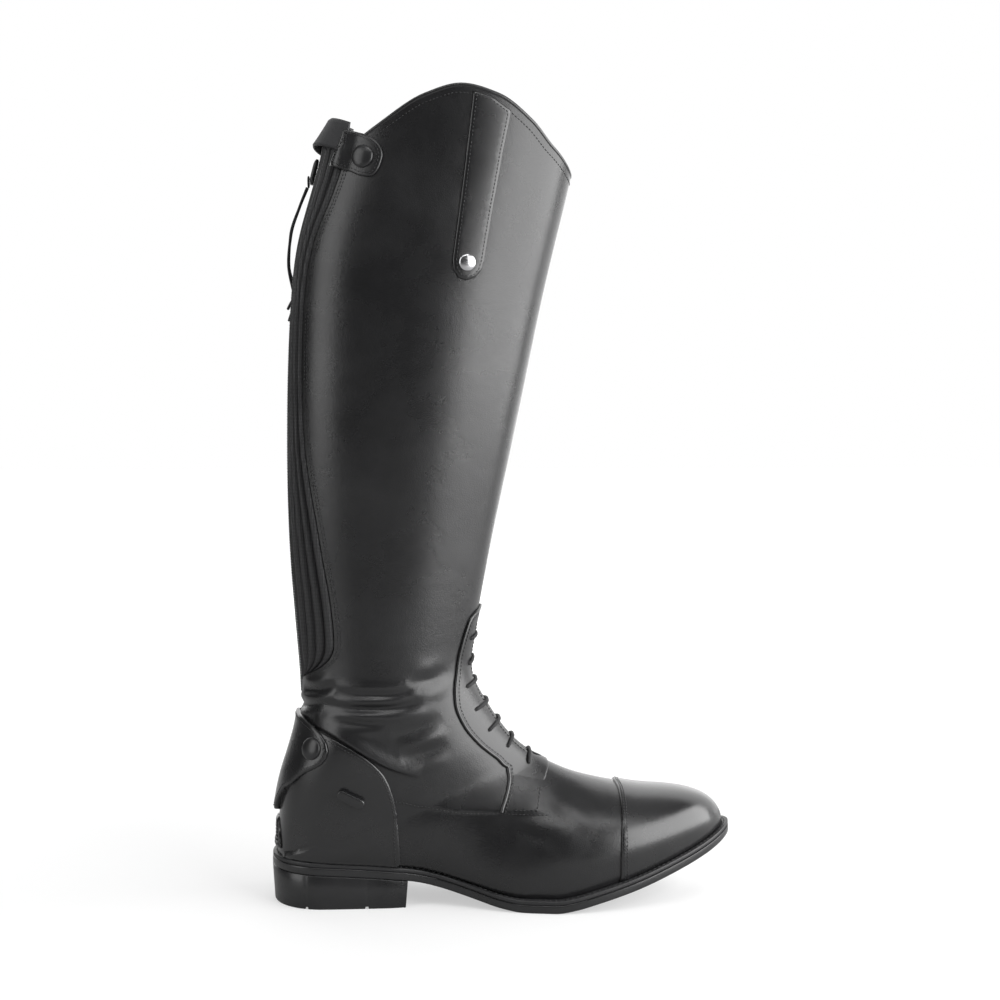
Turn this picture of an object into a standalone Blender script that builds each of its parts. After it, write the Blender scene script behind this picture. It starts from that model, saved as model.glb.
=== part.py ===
import math

import bpy
import numpy as np
from mathutils import Vector
from mathutils.geometry import delaunay_2d_cdt

# Driving sizes in millimetres: x from the heel's back to the toe, y from the lateral side
# (minus) to the medial side, z up from the floor. A right boot.
SOLE_LENGTH = 290.0
TOE_TIP_Y = 7.0
WALL = 2.0
FIT_GAP = 0.35
OUTSOLE_THICK = 5.0
WELT_THICK = 2.5
WELT_WIDTH = 12.0
INSOLE_THICK = 2.5
INSOLE_ROOM = 2.5
HEEL_BREAST_X = 84.5
HEEL_TAPER = 1.2
GROOVE_AT = (22.0, 60.0)
GROOVE_WIDTH = 2.2
GROOVE_DEEP = 1.3
OVERLAY_THICK = 1.25
SECOND_LAYER_THICK = 1.4
FEATHER_START_X = 4.5
FEATHER_END_X = 284.5
FEATHER_SCALE_HEEL = 0.925
FEATHER_SCALE_BALL = 0.9
LACE_RADIUS = 1.3
CORD_RADIUS = 0.9

# Sole edge between the heel's arc and the toe's arc: x, y
LATERAL_EDGE = (
    (34, -33.5), (72, -33.0), (97, -30.2), (116, -33.5), (143, -43.0), (165, -48.2), (181, -50.0),
)
MEDIAL_EDGE = ((34, 33.5), (75, 32.6), (108, 30.0), (135, 33.0), (165, 41.5), (190, 46.3), (203, 47.0))
HEEL_ARC_POWER = 2.05
LATERAL_TOE_POWER = 1.8
MEDIAL_TOE_POWER = 2.2

# Underside of the outsole: x, z. Arch, flat tread under the ball, toe spring
SOLE_RISE = (
    (0, 22.5), (40, 20.6), (84, 16.7), (104, 12.2), (126, 5.9), (142, 1.7), (154, 0.0), (174, 0.0),
    (187, 1.9), (200, 5.2), (225, 12.1), (251, 20.9), (275, 29.6), (290, 36.0),
)

# Leg sections from above the collar down to the heel seat. Each one is a tilted plane from the
# back seam to the front ridge, with its half widths and how full its front and back are.
LEG_COLUMNS = (
    "front_x", "front_z", "back_x", "back_z", "lateral", "medial", "widest", "front_power", "back_power",
)
LEG_ROWS = (
    (199.3, 505.0, 37.0, 505.0, 46.5, 46.5, 0.47, 2.0, 2.3),
    (191.6, 470.0, 34.5, 470.0, 46.7, 46.7, 0.47, 2.0, 2.4),
    (184.9, 440.0, 27.5, 440.0, 46.9, 46.9, 0.46, 2.0, 2.45),
    (176.2, 405.0, 17.5, 405.0, 46.9, 46.9, 0.46, 2.0, 2.5),
    (168.0, 370.0, 13.8, 370.0, 46.6, 46.6, 0.46, 2.0, 2.45),
    (157.8, 320.0, 11.5, 320.0, 45.5, 45.5, 0.47, 2.0, 2.35),
    (147.2, 270.0, 11.0, 270.0, 43.5, 43.5, 0.48, 2.0, 2.2),
    (137.5, 225.0, 12.0, 225.0, 41.5, 41.5, 0.49, 2.0, 2.0),
    (131.0, 190.0, 14.3, 190.0, 40.3, 40.3, 0.5, 2.0, 1.9),
    (126.4, 164.0, 16.8, 158.0, 39.6, 39.6, 0.5, 2.0, 1.9),
    (124.3, 150.0, 18.3, 140.0, 39.4, 39.4, 0.49, 2.0, 1.95),
    (125.6, 139.0, 18.8, 124.0, 39.6, 39.6, 0.48, 2.0, 2.05),
    (129.8, 129.3, 16.8, 108.0, 40.0, 40.0, 0.46, 2.0, 2.2),
    (135.3, 120.5, 12.0, 92.0, 40.0, 40.0, 0.44, 2.0, 2.4),
    (141.3, 111.3, 8.3, 76.0, 39.6, 39.6, 0.43, 2.0, 2.5),
    (147.8, 102.8, 6.4, 60.0, 38.8, 38.8, 0.42, 2.0, 2.5),
    (153.3, 97.0, 5.5, 46.0, 37.6, 37.6, 0.41, 2.0, 2.55),
    (157.3, 93.4, 4.9, 37.0, 36.8, 36.8, 0.40, 2.0, 2.6),
)
# Foot sections from the heel seat to the toe tip, open along the feather edge at base_x. A bulge
# is how far the widest point stands out past the feather edge.
FOOT_COLUMNS = (
    "front_x", "front_z", "base_x", "lateral_bulge", "medial_bulge", "widest", "front_power", "back_power",
    "ridge_y",
)
FOOT_ROWS = (
    (160.0, 91.4, 4.5, 36.4, 36.2, 0.39, 2.0, 2.6, 0.0),
    (162.5, 89.7, 6.8, 24.2, 24.0, 0.38, 2.0, 2.5, 0.2),
    (165.0, 88.0, 12.0, 15.6, 15.2, 0.37, 2.0, 2.4, 0.4),
    (168.2, 86.2, 25.0, 6.7, 6.1, 0.36, 2.0, 2.3, 0.7),
    (172.8, 83.6, 45.0, 4.7, 3.7, 0.35, 2.0, 2.2, 1.1),
    (178.8, 80.7, 72.0, 4.9, 3.6, 0.34, 2.0, 2.1, 1.6),
    (186.8, 77.2, 105.0, 8.0, 5.6, 0.33, 2.0, 2.0, 2.2),
    (195.8, 74.3, 138.0, 6.2, 7.4, 0.32, 2.0, 2.0, 2.8),
    (205.8, 71.6, 165.0, 3.2, 4.6, 0.30, 2.0, 2.0, 3.4),
    (217.8, 69.0, 192.0, 1.3, 2.2, 0.29, 2.05, 2.0, 4.2),
    (230.8, 66.2, 216.0, 1.0, 1.8, 0.29, 2.1, 2.0, 5.0),
    (243.8, 65.0, 237.0, 0.9, 1.5, 0.29, 2.15, 2.0, 5.7),
    (256.5, 63.6, 254.0, 0.8, 1.2, 0.30, 2.2, 2.0, 6.2),
    (267.0, 61.2, 267.5, 0.7, 0.9, 0.31, 2.25, 2.0, 6.5),
    (275.2, 57.6, 277.5, 0.5, 0.6, 0.33, 2.3, 2.0, 6.8),
    (280.8, 52.6, 283.0, 0.3, 0.3, 0.36, 2.3, 2.0, 6.95),
    (283.5, 47.2, 284.5, 0.0, 0.0, 0.40, 2.3, 2.0, 7.0),
)
STEPS_PER_ROW = 12
HALF_COLUMNS = 60

# Spacing of the leather's facets, and how it widens by zones of rows
UPPER_STEP = 16.0
FACING_STEP = 11.0
TOE_CAP_STEP = 9.0
COUNTER_STEP = 10.0
STRAP_STEP = 11.0
SMALL_STEP = 7.5
COLLAR_POINTS = 30
SEAM_STEP = 13.0
SOLE_STATIONS = 49
WELT_STATIONS = 43
ZONE_ROWS = (0.0, 8.0, 24.5, 28.0, 34.0)
ROW_STRETCH = (2.4, 0.85, 1.1, 0.85)
COLUMN_STRETCH = (1.15, 0.85, 1.1, 0.85)

# Lines on the boot, as x, z seen from the side, or z and girth width from the back seam
COLLAR_LATERAL = (
    (44, 460), (68, 473), (96, 490.5), (117.5, 496.5), (139, 491.6), (160, 477.5), (174, 463.0),
)
COLLAR_MEDIAL = ((44, 461), (95, 466), (140, 464), (170, 455))
COLLAR_FRONT_Z = 449.5
PANEL_EDGE = (
    (470, 41.0), (446, 40.0), (430, 38.6), (415, 35.6), (400, 33.2), (385, 31.6), (365, 30.6), (330, 30.3),
    (284, 31.6), (262, 33.9), (238, 37.0), (208, 39.8), (189, 41.6), (171, 42.2), (160, 41.6), (153, 38.4),
    (148, 32.5), (144.5, 25.0), (142, 17.0), (140, 10.5), (137, 7.4), (130, 7.0),
)
PANEL_BOTTOM_Z = 127.0
PANEL_TOP_Z = 466.0
PANEL_CALF_Z = 365.0
PANEL_BEND_Z = 186.0
ZIP_HALF = 12.2
TEETH_HALF = 2.4
TAPE_HIGH = -0.3
TAPE_THICK = 1.3
THROAT_EDGE = ((178, 0.8), (174, 4.2), (164, 5.6), (140, 6.6), (110, 7.0), (94, 6.0), (88, 3.6), (86, 0.8))
FACING_TOP_Z = 183.0
FACING_EDGE = (
    (123.6, 176.6), (119.8, 167.1), (116.7, 156.2), (114.8, 144), (113.7, 131.6), (114.6, 122.5),
    (119.4, 111.6), (128, 100.5), (135.5, 93.6), (140.8, 89.2), (144.9, 85.0), (147.1, 79.4), (146.6, 73),
    (144.6, 66.4), (141.9, 58.4),
)
FACING_FOOT = ((153, 57.8), (165, 57.4), (168, 72))
FACING_FRONT_X = 172.0
# Lace bars: height at the ridge, reach to each eyelet, drop towards the eyelet
LACE_BARS = (
    (166.0, 14.0, 2.0), (151.5, 13.0, 3.4), (136.6, 20.0, 1.4), (122.7, 21.5, 1.0), (111.2, 20.5, 2.1),
    (100.4, 16.0, 2.6), (90.8, 15.0, 3.4),
)
THROAT_RING = 6.0
TOE_CAP_SEAM = ((215.4, 70), (215.3, 50), (214.5, 19.5))
COUNTER_SEAM = (
    (80.3, 26.5), (80.1, 32), (79.7, 38.5), (79.2, 45), (78.6, 52), (77.7, 60), (76.5, 67), (74.9, 73),
    (72.8, 79), (70, 84.5), (65.8, 89.4), (60, 94.5), (51.5, 99.9), (42, 105), (34.5, 108.5), (27, 111.5),
)
COUNTER_TOP_Z = 117.0
BACK_STAY = (
    (33.5, -18), (44, -14), (51, -8), (52.5, 0), (51, 8), (44, 14), (33.5, 18), (33.5, 6), (33.5, -6),
)
FLAP_MEDIAL = ((57, -8), (54.8, 0), (54.8, 13), (80, 13.5), (100, 13.5), (116, 13), (119, 0))
FLAP_LATERAL = (
    (22, 116.5), (28.5, 112.4), (33.4, 108), (36.4, 103.4), (37.3, 98.8), (36.1, 94.3), (33, 90.4),
    (28.6, 87.4), (24, 84.8), (20, 81.4), (16, 76.8), (12, 73),
)
SIDE_STRAP = (
    (124.5, 493), (120, 455), (115.5, 420), (112, 394), (112.5, 388), (115.5, 383.5), (120, 382),
    (125, 383.5), (129, 388), (130.8, 394), (136, 425), (142, 458), (147, 482.5), (136, 490),
)
STUD_AT = (120.5, 392.6)
STUD_RADIUS = 5.2
SNAP_RADIUS = 6.8
STRAP_SNAP_AT = (59.4, 454.8)
FLAP_SNAP_AT = (28.0, 99.0)
LATERAL_TAB = (
    (59.4, 468.7), (65.8, 465.1), (70.3, 459.1), (70.9, 453.9), (68.4, 447.1), (63.9, 442.8), (58.2, 443.4),
    (51.4, 446.4),
)
MEDIAL_TAB = ((57, 468.5), (67, 457), (72, 446), (69, 440.5), (61, 441.5), (51, 448.5))
STRAP_REACH = 41.0
STRAP_Z = 474.5
STRAP_DROP = 8.0
STRAP_HIGH = 18.0
STRAP_THICK = 1.8
STRAP_STAND_OFF = 2.2
STRAP_LEAN = 9.0
LATERAL_PLEATS = 4
MEDIAL_PLEATS = 5
PLEAT_RIDGE = 1.0
PLEAT_VALLEY = -0.6
GUSSET_THICK = 1.2
GUSSET_BOTTOM_Z = 144.0
SLIDER_Z = 451.0
SLIDER_LONG = 16.0
SLIDER_WIDE = 9.0
SLIDER_LIFT = 0.8
TEETH_HIGH = 1.3
TONGUE_THICK = 1.6
TONGUE_HALF = 12.5
TONGUE_TOP_Z = 174.0
TONGUE_BOTTOM_Z = 92.0
TONGUE_ROOM = 0.8
GUSSET_ROOM = 1.0
SPUR_REST_AT = (50.5, 70.5)
SPUR_REST_LONG = 18.0
SPUR_REST_HIGH = 6.0
SPUR_REST_LEAN = 27.0
LOW_EDGE_ROOM = 2.3
LAYER_1 = 0.6
ROUND_LAYER = 1.05
LAYER_2 = ROUND_LAYER + OVERLAY_THICK + 2 * FIT_GAP

# Thong tied to the slider, two strands down to the knot and two short ends: z, girth, lift
KNOT_AT = (377.0, 22.0, 4.6)
KNOT_RADIUS = 2.8
CORD_STRAND_1 = ((441, 1.6, 3.9), (430, 3.8, 5.6), (412, 9.2, 7.8), (395, 15.4, 7.6), (381.2, 20.6, 4.6))
CORD_STRAND_2 = ((441, -1.2, 3.9), (430, 0.6, 5.2), (412, 5.8, 6.8), (395, 11.9, 6.6), (379.3, 18.3, 4.4))
CORD_END_1 = ((375.6, 18.4, 3.6), (372.0, 13.0, 3.1), (368.0, 7.0, 3.1))
CORD_END_2 = ((373.4, 19.8, 3.6), (367.0, 15.5, 3.1), (361.0, 11.0, 3.0))

MM = 0.001
PART_SHIFT = Vector((-SOLE_LENGTH / 2, -(LATERAL_EDGE[-1][1] + MEDIAL_EDGE[-1][1]) / 2, 0.0))
LATERAL = -1
MEDIAL = 1


def monotone(knots, values, at, flat_ends=False):
    knots = np.asarray(knots, float)
    values = np.asarray(values, float)
    step = np.diff(knots)
    slope = np.diff(values) / step
    tangent = np.zeros_like(values)
    before, after = slope[:-1], slope[1:]
    rising = before * after > 0
    weight_a = 2 * step[1:] + step[:-1]
    weight_b = step[1:] + 2 * step[:-1]
    safe_before = np.where(rising, before, 1.0)
    safe_after = np.where(rising, after, 1.0)
    mean = (weight_a + weight_b) / (weight_a / safe_before + weight_b / safe_after)
    tangent[1:-1] = np.where(rising, mean, 0.0)
    if not flat_ends:
        tangent[0] = slope[0]
        tangent[-1] = slope[-1]
    at = np.clip(np.asarray(at, float), knots[0], knots[-1])
    i = np.clip(np.searchsorted(knots, at, "right") - 1, 0, len(knots) - 2)
    t = (at - knots[i]) / step[i]
    rest = 1 - t
    ends = values[i] * rest**2 * (1 + 2 * t) + values[i + 1] * t**2 * (1 + 2 * rest)
    return ends + step[i] * t * rest * (tangent[i] * rest - tangent[i + 1] * t)


def table_curve(table, at, flat_ends=False):
    table = np.asarray(table, float)
    if table[0, 0] > table[-1, 0]:
        table = table[::-1]
    return monotone(table[:, 0], table[:, 1], at, flat_ends)


# Sole: plan edges and heights

def arc_fall(t, power):
    return (1 - np.clip(t, 0, 1) ** power) ** (1 / power)


def sole_edge(x, side):
    table = LATERAL_EDGE if side == LATERAL else MEDIAL_EDGE
    power = LATERAL_TOE_POWER if side == LATERAL else MEDIAL_TOE_POWER
    x = np.asarray(x, float)
    heel_x, heel_y = table[0]
    ball_x, ball_y = table[-1]
    heel = heel_y * arc_fall((heel_x - x) / heel_x, HEEL_ARC_POWER)
    toe = TOE_TIP_Y + (ball_y - TOE_TIP_Y) * arc_fall((x - ball_x) / (SOLE_LENGTH - ball_x), power)
    middle = table_curve(table, x, flat_ends=True)
    return np.where(x < heel_x, heel, np.where(x > ball_x, toe, middle))


def centre_line(x):
    return TOE_TIP_Y * np.clip(np.asarray(x, float) / SOLE_LENGTH, 0, 1) ** 2


def sole_bottom(x):
    return table_curve(SOLE_RISE, x)


def feather_height(x):
    return sole_bottom(x) + OUTSOLE_THICK + WELT_THICK + 2 * FIT_GAP


def feather_edge(x, side):
    along = (np.asarray(x, float) - FEATHER_START_X) / (FEATHER_END_X - FEATHER_START_X)
    sole_x = np.clip(along, 0, 1) * SOLE_LENGTH
    scale = np.interp(sole_x, (60, 150), (FEATHER_SCALE_HEEL, FEATHER_SCALE_BALL))
    middle = centre_line(sole_x)
    return middle + (sole_edge(sole_x, side) - middle) * scale


# Last: a grid of points and outward normals over s (section) and u (lateral edge, ridge, medial edge)

def columns_of(names, rows):
    return dict(zip(names, np.array(rows, float).T))


def smoothed(values, width):
    before = 2 * values[0] - values[width:0:-1]
    after = 2 * values[-1] - values[-2:-width - 2:-1]
    pad = np.concatenate([before, values, after])
    window = np.hanning(2 * width + 1)
    return np.convolve(pad, window / window.sum(), "valid")


def section_table():
    leg = columns_of(LEG_COLUMNS, LEG_ROWS)
    foot = columns_of(FOOT_COLUMNS, FOOT_ROWS)
    rows = {}
    for name in ("front_x", "front_z", "widest", "front_power", "back_power"):
        rows[name] = np.concatenate([leg[name], foot[name]])
    rows["back_x"] = np.concatenate([leg["back_x"], foot["base_x"]])
    rows["back_z"] = np.concatenate([leg["back_z"], feather_height(foot["base_x"])])
    rows["ridge_y"] = np.concatenate([0 * leg["front_x"], foot["ridge_y"]])
    for name, side in (("lateral", LATERAL), ("medial", MEDIAL)):
        foot_width = foot[name + "_bulge"] + side * feather_edge(foot["base_x"], side)
        rows[name] = np.concatenate([leg[name], foot_width])
    return rows


def fine_sections(heel_row):
    rows = section_table()
    count = len(rows["front_x"])
    fine = np.linspace(0, count - 1, (count - 1) * STEPS_PER_ROW + 1)
    out = {name: monotone(np.arange(count), values, fine) for name, values in rows.items()}
    keep = np.clip((fine - (heel_row - 5)) / 3, 0, 1)
    for name, values in out.items():
        soft = smoothed(values, STEPS_PER_ROW)
        if name in ("back_x", "back_z"):
            soft = soft * (1 - keep) + values * keep
        out[name] = soft
    foot = fine >= heel_row
    out["back_z"] = np.where(foot, feather_height(out["back_x"]), out["back_z"])
    for name, side in (("lateral", LATERAL), ("medial", MEDIAL)):
        base = np.where(foot, side * (feather_edge(out["back_x"], side) - out["ridge_y"]), 0.0)
        base[np.searchsorted(fine, heel_row)] = 0.0
        base[-1] = 0.0
        width = np.maximum(out[name] + -side * out["ridge_y"], base)
        width[-1] = 0.0
        out[name + "_base"] = base
        out[name] = width
    return fine, out


def half_section(cut, side):
    angle = np.linspace(0, math.pi / 2, 90)[None, :]
    width, base = cut[side][:, None], cut[side + "_base"][:, None]
    span = np.hypot(cut["front_x"] - cut["back_x"], cut["front_z"] - cut["back_z"])[:, None]
    wide_at = span * cut["widest"][:, None]
    front, back = 2 / cut["front_power"][:, None], 2 / cut["back_power"][:, None]
    ahead = wide_at + (span - wide_at) * np.cos(angle) ** front
    ahead_y = width * np.sin(angle) ** front
    behind = wide_at * (1 - np.sin(angle) ** back)
    behind_y = base + (width - base) * np.cos(angle) ** back
    along = np.concatenate([ahead, behind[:, 1:]], 1)
    out = np.concatenate([ahead_y, behind_y[:, 1:]], 1)
    lengths = np.concatenate([0 * span, np.hypot(np.diff(along), np.diff(out)).cumsum(1)], 1)
    even = np.linspace(0, 1, HALF_COLUMNS + 1)
    along = np.array([np.interp(even * run[-1], run, row) for run, row in zip(lengths, along)])
    out = np.array([np.interp(even * run[-1], run, row) for run, row in zip(lengths, out)])
    return along / span, out, lengths[:, -1]


class Last:
    def __init__(self):
        self.heel_row = len(LEG_ROWS)
        self.rows, cut = fine_sections(self.heel_row)
        self.cut = cut
        share_l, out_l, self.girth_l = half_section(cut, "lateral")
        share_m, out_m, self.girth_m = half_section(cut, "medial")
        share = np.concatenate([share_l[:, ::-1], share_m[:, 1:]], 1)
        y = np.concatenate([-out_l[:, ::-1], out_m[:, 1:]], 1) + cut["ridge_y"][:, None]
        x = cut["back_x"][:, None] + share * (cut["front_x"] - cut["back_x"])[:, None]
        z = cut["back_z"][:, None] + share * (cut["front_z"] - cut["back_z"])[:, None]
        self.share = share
        self.points = np.stack([x, y, z], 2)
        normal = np.cross(np.gradient(self.points, axis=0), np.gradient(self.points, axis=1))
        closed = self.rows < self.heel_row
        seam = normal[closed, 0] + normal[closed, -1]
        normal[closed, 0] = seam
        normal[closed, -1] = seam
        normal /= np.linalg.norm(normal, axis=2, keepdims=True) + 1e-12
        self.normals = normal
        front_step = np.hypot(np.diff(cut["front_x"]), np.diff(cut["front_z"]))
        back_step = np.hypot(np.diff(cut["back_x"]), np.diff(cut["back_z"]))
        self.run = np.concatenate([[0], np.cumsum((front_step + back_step) / 2)])
        self.reach = np.concatenate([[0], np.cumsum(np.maximum(front_step, back_step))])

    def along(self, values, s):
        return np.interp(s, self.rows, values)

    def look_up(self, grid, s, u):
        row = np.clip(np.asarray(s, float) * STEPS_PER_ROW, 0, len(grid) - 1.000001)
        col = np.clip((np.asarray(u, float) + 1) * HALF_COLUMNS, 0, 2 * HALF_COLUMNS - 0.000001)
        i, j = row.astype(int), col.astype(int)
        a, b = (row - i)[:, None], (col - j)[:, None]
        top = grid[i, j] * (1 - b) + grid[i, j + 1] * b
        low = grid[i + 1, j] * (1 - b) + grid[i + 1, j + 1] * b
        return top * (1 - a) + low * a

    def surface(self, s, u, lift):
        normal = self.look_up(self.normals, s, u)
        normal /= np.linalg.norm(normal, axis=1, keepdims=True)
        return self.look_up(self.points, s, u) + normal * np.broadcast_to(lift, len(normal))[:, None]

    def girth(self, s, side):
        return self.along(self.girth_l if side == LATERAL else self.girth_m, s)

    def from_side(self, x, z, side):
        cut = self.cut
        cross = (x - cut["back_x"]) * (cut["front_z"] - cut["back_z"])
        cross -= (z - cut["back_z"]) * (cut["front_x"] - cut["back_x"])
        i = np.nonzero((cross[:-1] >= 0) & (cross[1:] < 0))[0][0]
        t = cross[i] / (cross[i] - cross[i + 1])
        s = self.rows[i] + t * (self.rows[i + 1] - self.rows[i])
        ends = {name: self.along(cut[name], s) for name in ("front_x", "front_z", "back_x", "back_z")}
        run_x, run_z = ends["front_x"] - ends["back_x"], ends["front_z"] - ends["back_z"]
        part = ((x - ends["back_x"]) * run_x + (z - ends["back_z"]) * run_z) / (run_x**2 + run_z**2)
        half = self.share[i, HALF_COLUMNS:] if side == MEDIAL else self.share[i, HALF_COLUMNS::-1]
        u = np.interp(-part, -half, np.linspace(0, 1, HALF_COLUMNS + 1))
        return s, side * u

    def from_back(self, z, girth):
        leg = self.rows <= self.heel_row
        s = np.interp(-z, -self.cut["back_z"][leg], self.rows[leg])
        side = LATERAL if girth < 0 else MEDIAL
        return s, side * (1 - abs(girth) / self.girth(s, side))

    def from_front(self, z, girth):
        s = np.interp(-z, -self.cut["front_z"], self.rows)
        side = LATERAL if girth < 0 else MEDIAL
        return s, girth / self.girth(s, side)

    def by_side(self, u, s, lateral, medial):
        return np.where(u < 0, self.along(lateral, s), self.along(medial, s))

    def front_chart(self, s, u):
        girth = self.by_side(u, s, self.girth_l, self.girth_m)
        return np.stack([u * girth, self.along(self.run, s)], 1)

    def back_chart(self, s, u):
        girth = self.by_side(u, s, self.girth_l, self.girth_m)
        base = self.by_side(u, s, self.cut["lateral_base"], self.cut["medial_base"])
        sign = np.where(u < 0, -1, 1)
        return np.stack([sign * (base + (1 - np.abs(u)) * girth), self.along(self.run, s)], 1)


LAST = Last()


# Meshes: sheets cut from the last, lofted plates and raised bosses

def add_object(name, points, faces, colour, roughness, metallic=0.0):
    mesh = bpy.data.meshes.new(name)
    placed = [(Vector(p) + PART_SHIFT) * MM for p in points]
    mesh.from_pydata(placed, [], [tuple(int(i) for i in face) for face in faces])
    mesh.validate()
    mesh.shade_smooth()
    mesh.set_sharp_from_angle(angle=math.radians(40))
    material = bpy.data.materials.new(name)
    material.use_nodes = True
    shader = material.node_tree.nodes["Principled BSDF"]
    shader.inputs["Base Color"].default_value = (*colour, 1.0)
    shader.inputs["Roughness"].default_value = roughness
    shader.inputs["Metallic"].default_value = metallic
    mesh.materials.append(material)
    thing = bpy.data.objects.new(name, mesh)
    bpy.context.scene.collection.objects.link(thing)
    return thing


def rim_faces(faces, count):
    edges = {}
    for face in faces:
        for a, b in zip(face, np.roll(face, -1)):
            edges[(int(a), int(b))] = True
    return [(b, a, a + count, b + count) for a, b in edges if (b, a) not in edges]


def welded(outer, inner, faces):
    keys = {}
    index = np.empty(len(outer), int)
    groups = []
    for i, point in enumerate(outer):
        key = tuple(np.round(point, 4))
        if key not in keys:
            keys[key] = len(groups)
            groups.append([])
        index[i] = keys[key]
        groups[keys[key]].append(i)
    outer = np.array([outer[group].mean(0) for group in groups])
    inner = np.array([inner[group].mean(0) for group in groups])
    faces = [tuple(index[list(face)]) for face in faces]
    return outer, inner, [face for face in faces if len(set(face)) == len(face)]


def wall(name, s, u, faces, low, high, look):
    s, u = np.asarray(s, float), np.asarray(u, float)
    outer, inner, faces = welded(LAST.surface(s, u, high), LAST.surface(s, u, low), faces)
    first = faces[len(faces) // 2]
    middle = outer[list(first)].mean(0) - inner[list(first)].mean(0)
    turn = np.cross(outer[first[1]] - outer[first[0]], outer[first[2]] - outer[first[0]])
    if turn @ middle < 0:
        faces = [face[::-1] for face in faces]
    count = len(outer)
    back = [tuple(i + count for i in face[::-1]) for face in faces]
    every = list(faces) + back + rim_faces(faces, count)
    return add_object(name, np.concatenate([outer, inner]), every, *look)


def inside(points, loops):
    crossed = np.zeros(len(points), bool)
    for loop in loops:
        ahead = np.roll(loop, -1, 0)
        for (ax, ay), (bx, by) in zip(loop, ahead):
            if ay != by:
                spans = (ay > points[:, 1]) != (by > points[:, 1])
                crossed ^= spans & (points[:, 0] < (bx - ax) * (points[:, 1] - ay) / (by - ay) + ax)
    return crossed


def clear_of(points, loops, room):
    ok = np.ones(len(points), bool)
    for loop in loops:
        ahead = np.roll(loop, -1, 0)
        for a, b in zip(loop, ahead):
            run = b - a
            t = np.clip(((points - a) @ run) / (run @ run + 1e-12), 0, 1)
            ok &= np.linalg.norm(points - a - t[:, None] * run, axis=1) > room
    return ok


def lattice(step):
    reach = LAST.reach
    ends = np.interp(ZONE_ROWS, LAST.rows, reach)
    runs = [np.arange(a, b, k * step) for a, b, k in zip(ends, ends[1:], ROW_STRETCH)]
    stops = np.interp(np.concatenate(runs), reach, LAST.rows)
    s, u = [], []
    for k, stop in enumerate(stops):
        wide = COLUMN_STRETCH[np.searchsorted(ZONE_ROWS, stop, "right") - 1]
        for side in (LATERAL, MEDIAL):
            count = max(3, round(LAST.girth(stop, side) / (wide * step)))
            share = (np.arange(count) + (0.5 if k % 2 else 0.0)) / count
            s += [stop] * count
            u += list(side * np.clip(share, 0, 1))
    return np.array(s), np.array(u)


def across_seam(u):
    return np.where(u < 0, -1, 1) * (1 - np.abs(u))


def dense(loop, step, chart):
    loop = np.array(loop, float)
    over_back = chart == LAST.back_chart
    place = np.stack([loop[:, 0], across_seam(loop[:, 1]) if over_back else loop[:, 1]], 1)
    flat = chart(loop[:, 0], loop[:, 1])
    out = []
    for i in range(len(loop)):
        j = (i + 1) % len(loop)
        count = max(1, int(math.ceil(np.linalg.norm(flat[j] - flat[i]) / step)))
        out += [place[i] + (place[j] - place[i]) * k / count for k in range(count)]
    out = np.array(out)
    if over_back:
        out[:, 1] = across_seam(out[:, 1])
    return out


def panel(name, loops, low, high, look, chart, step, extra=()):
    loops = [dense(loop, step, chart) for loop in loops]
    edges_2d = [chart(loop[:, 0], loop[:, 1]) for loop in loops]
    s, u = lattice(step)
    flat = chart(s, u)
    keep = inside(flat, edges_2d) & clear_of(flat, edges_2d, 0.5 * step)
    extra = np.array(extra, float).reshape(-1, 2)
    extra_2d = chart(extra[:, 0], extra[:, 1])
    for point in extra_2d:
        keep &= np.linalg.norm(flat - point, axis=1) > 0.5 * step
    all_s = np.concatenate([loop[:, 0] for loop in loops] + [extra[:, 0], s[keep]])
    all_u = np.concatenate([loop[:, 1] for loop in loops] + [extra[:, 1], u[keep]])
    points = np.concatenate(edges_2d + [extra_2d, flat[keep]])
    edges, start = [], 0
    for loop in loops:
        edges += [(start + i, start + (i + 1) % len(loop)) for i in range(len(loop))]
        start += len(loop)
    cdt = delaunay_2d_cdt([Vector(p) for p in points], edges, [], 0, 1e-7)
    source = [origin[0] for origin in cdt[3]]
    faces = [tuple(source[i] for i in face) for face in cdt[2]]
    centres = np.array([points[list(face)].mean(0) for face in faces])
    faces = [face for face, ok in zip(faces, inside(centres, edges_2d)) if ok]
    return wall(name, all_s, all_u, faces, low, high, look)


def strip(name, s_grid, u_grid, low, high, look):
    rows, cols = np.shape(s_grid)
    index = np.arange(rows * cols).reshape(rows, cols)
    corners = (index[:-1, :-1], index[1:, :-1], index[1:, 1:], index[:-1, 1:])
    quads = np.stack([corner.ravel() for corner in corners], 1)
    lift = np.broadcast_to(high, (rows, cols)).ravel()
    base = np.broadcast_to(low, (rows, cols)).ravel()
    return wall(name, np.ravel(s_grid), np.ravel(u_grid), [tuple(q) for q in quads], base, lift, look)


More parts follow.
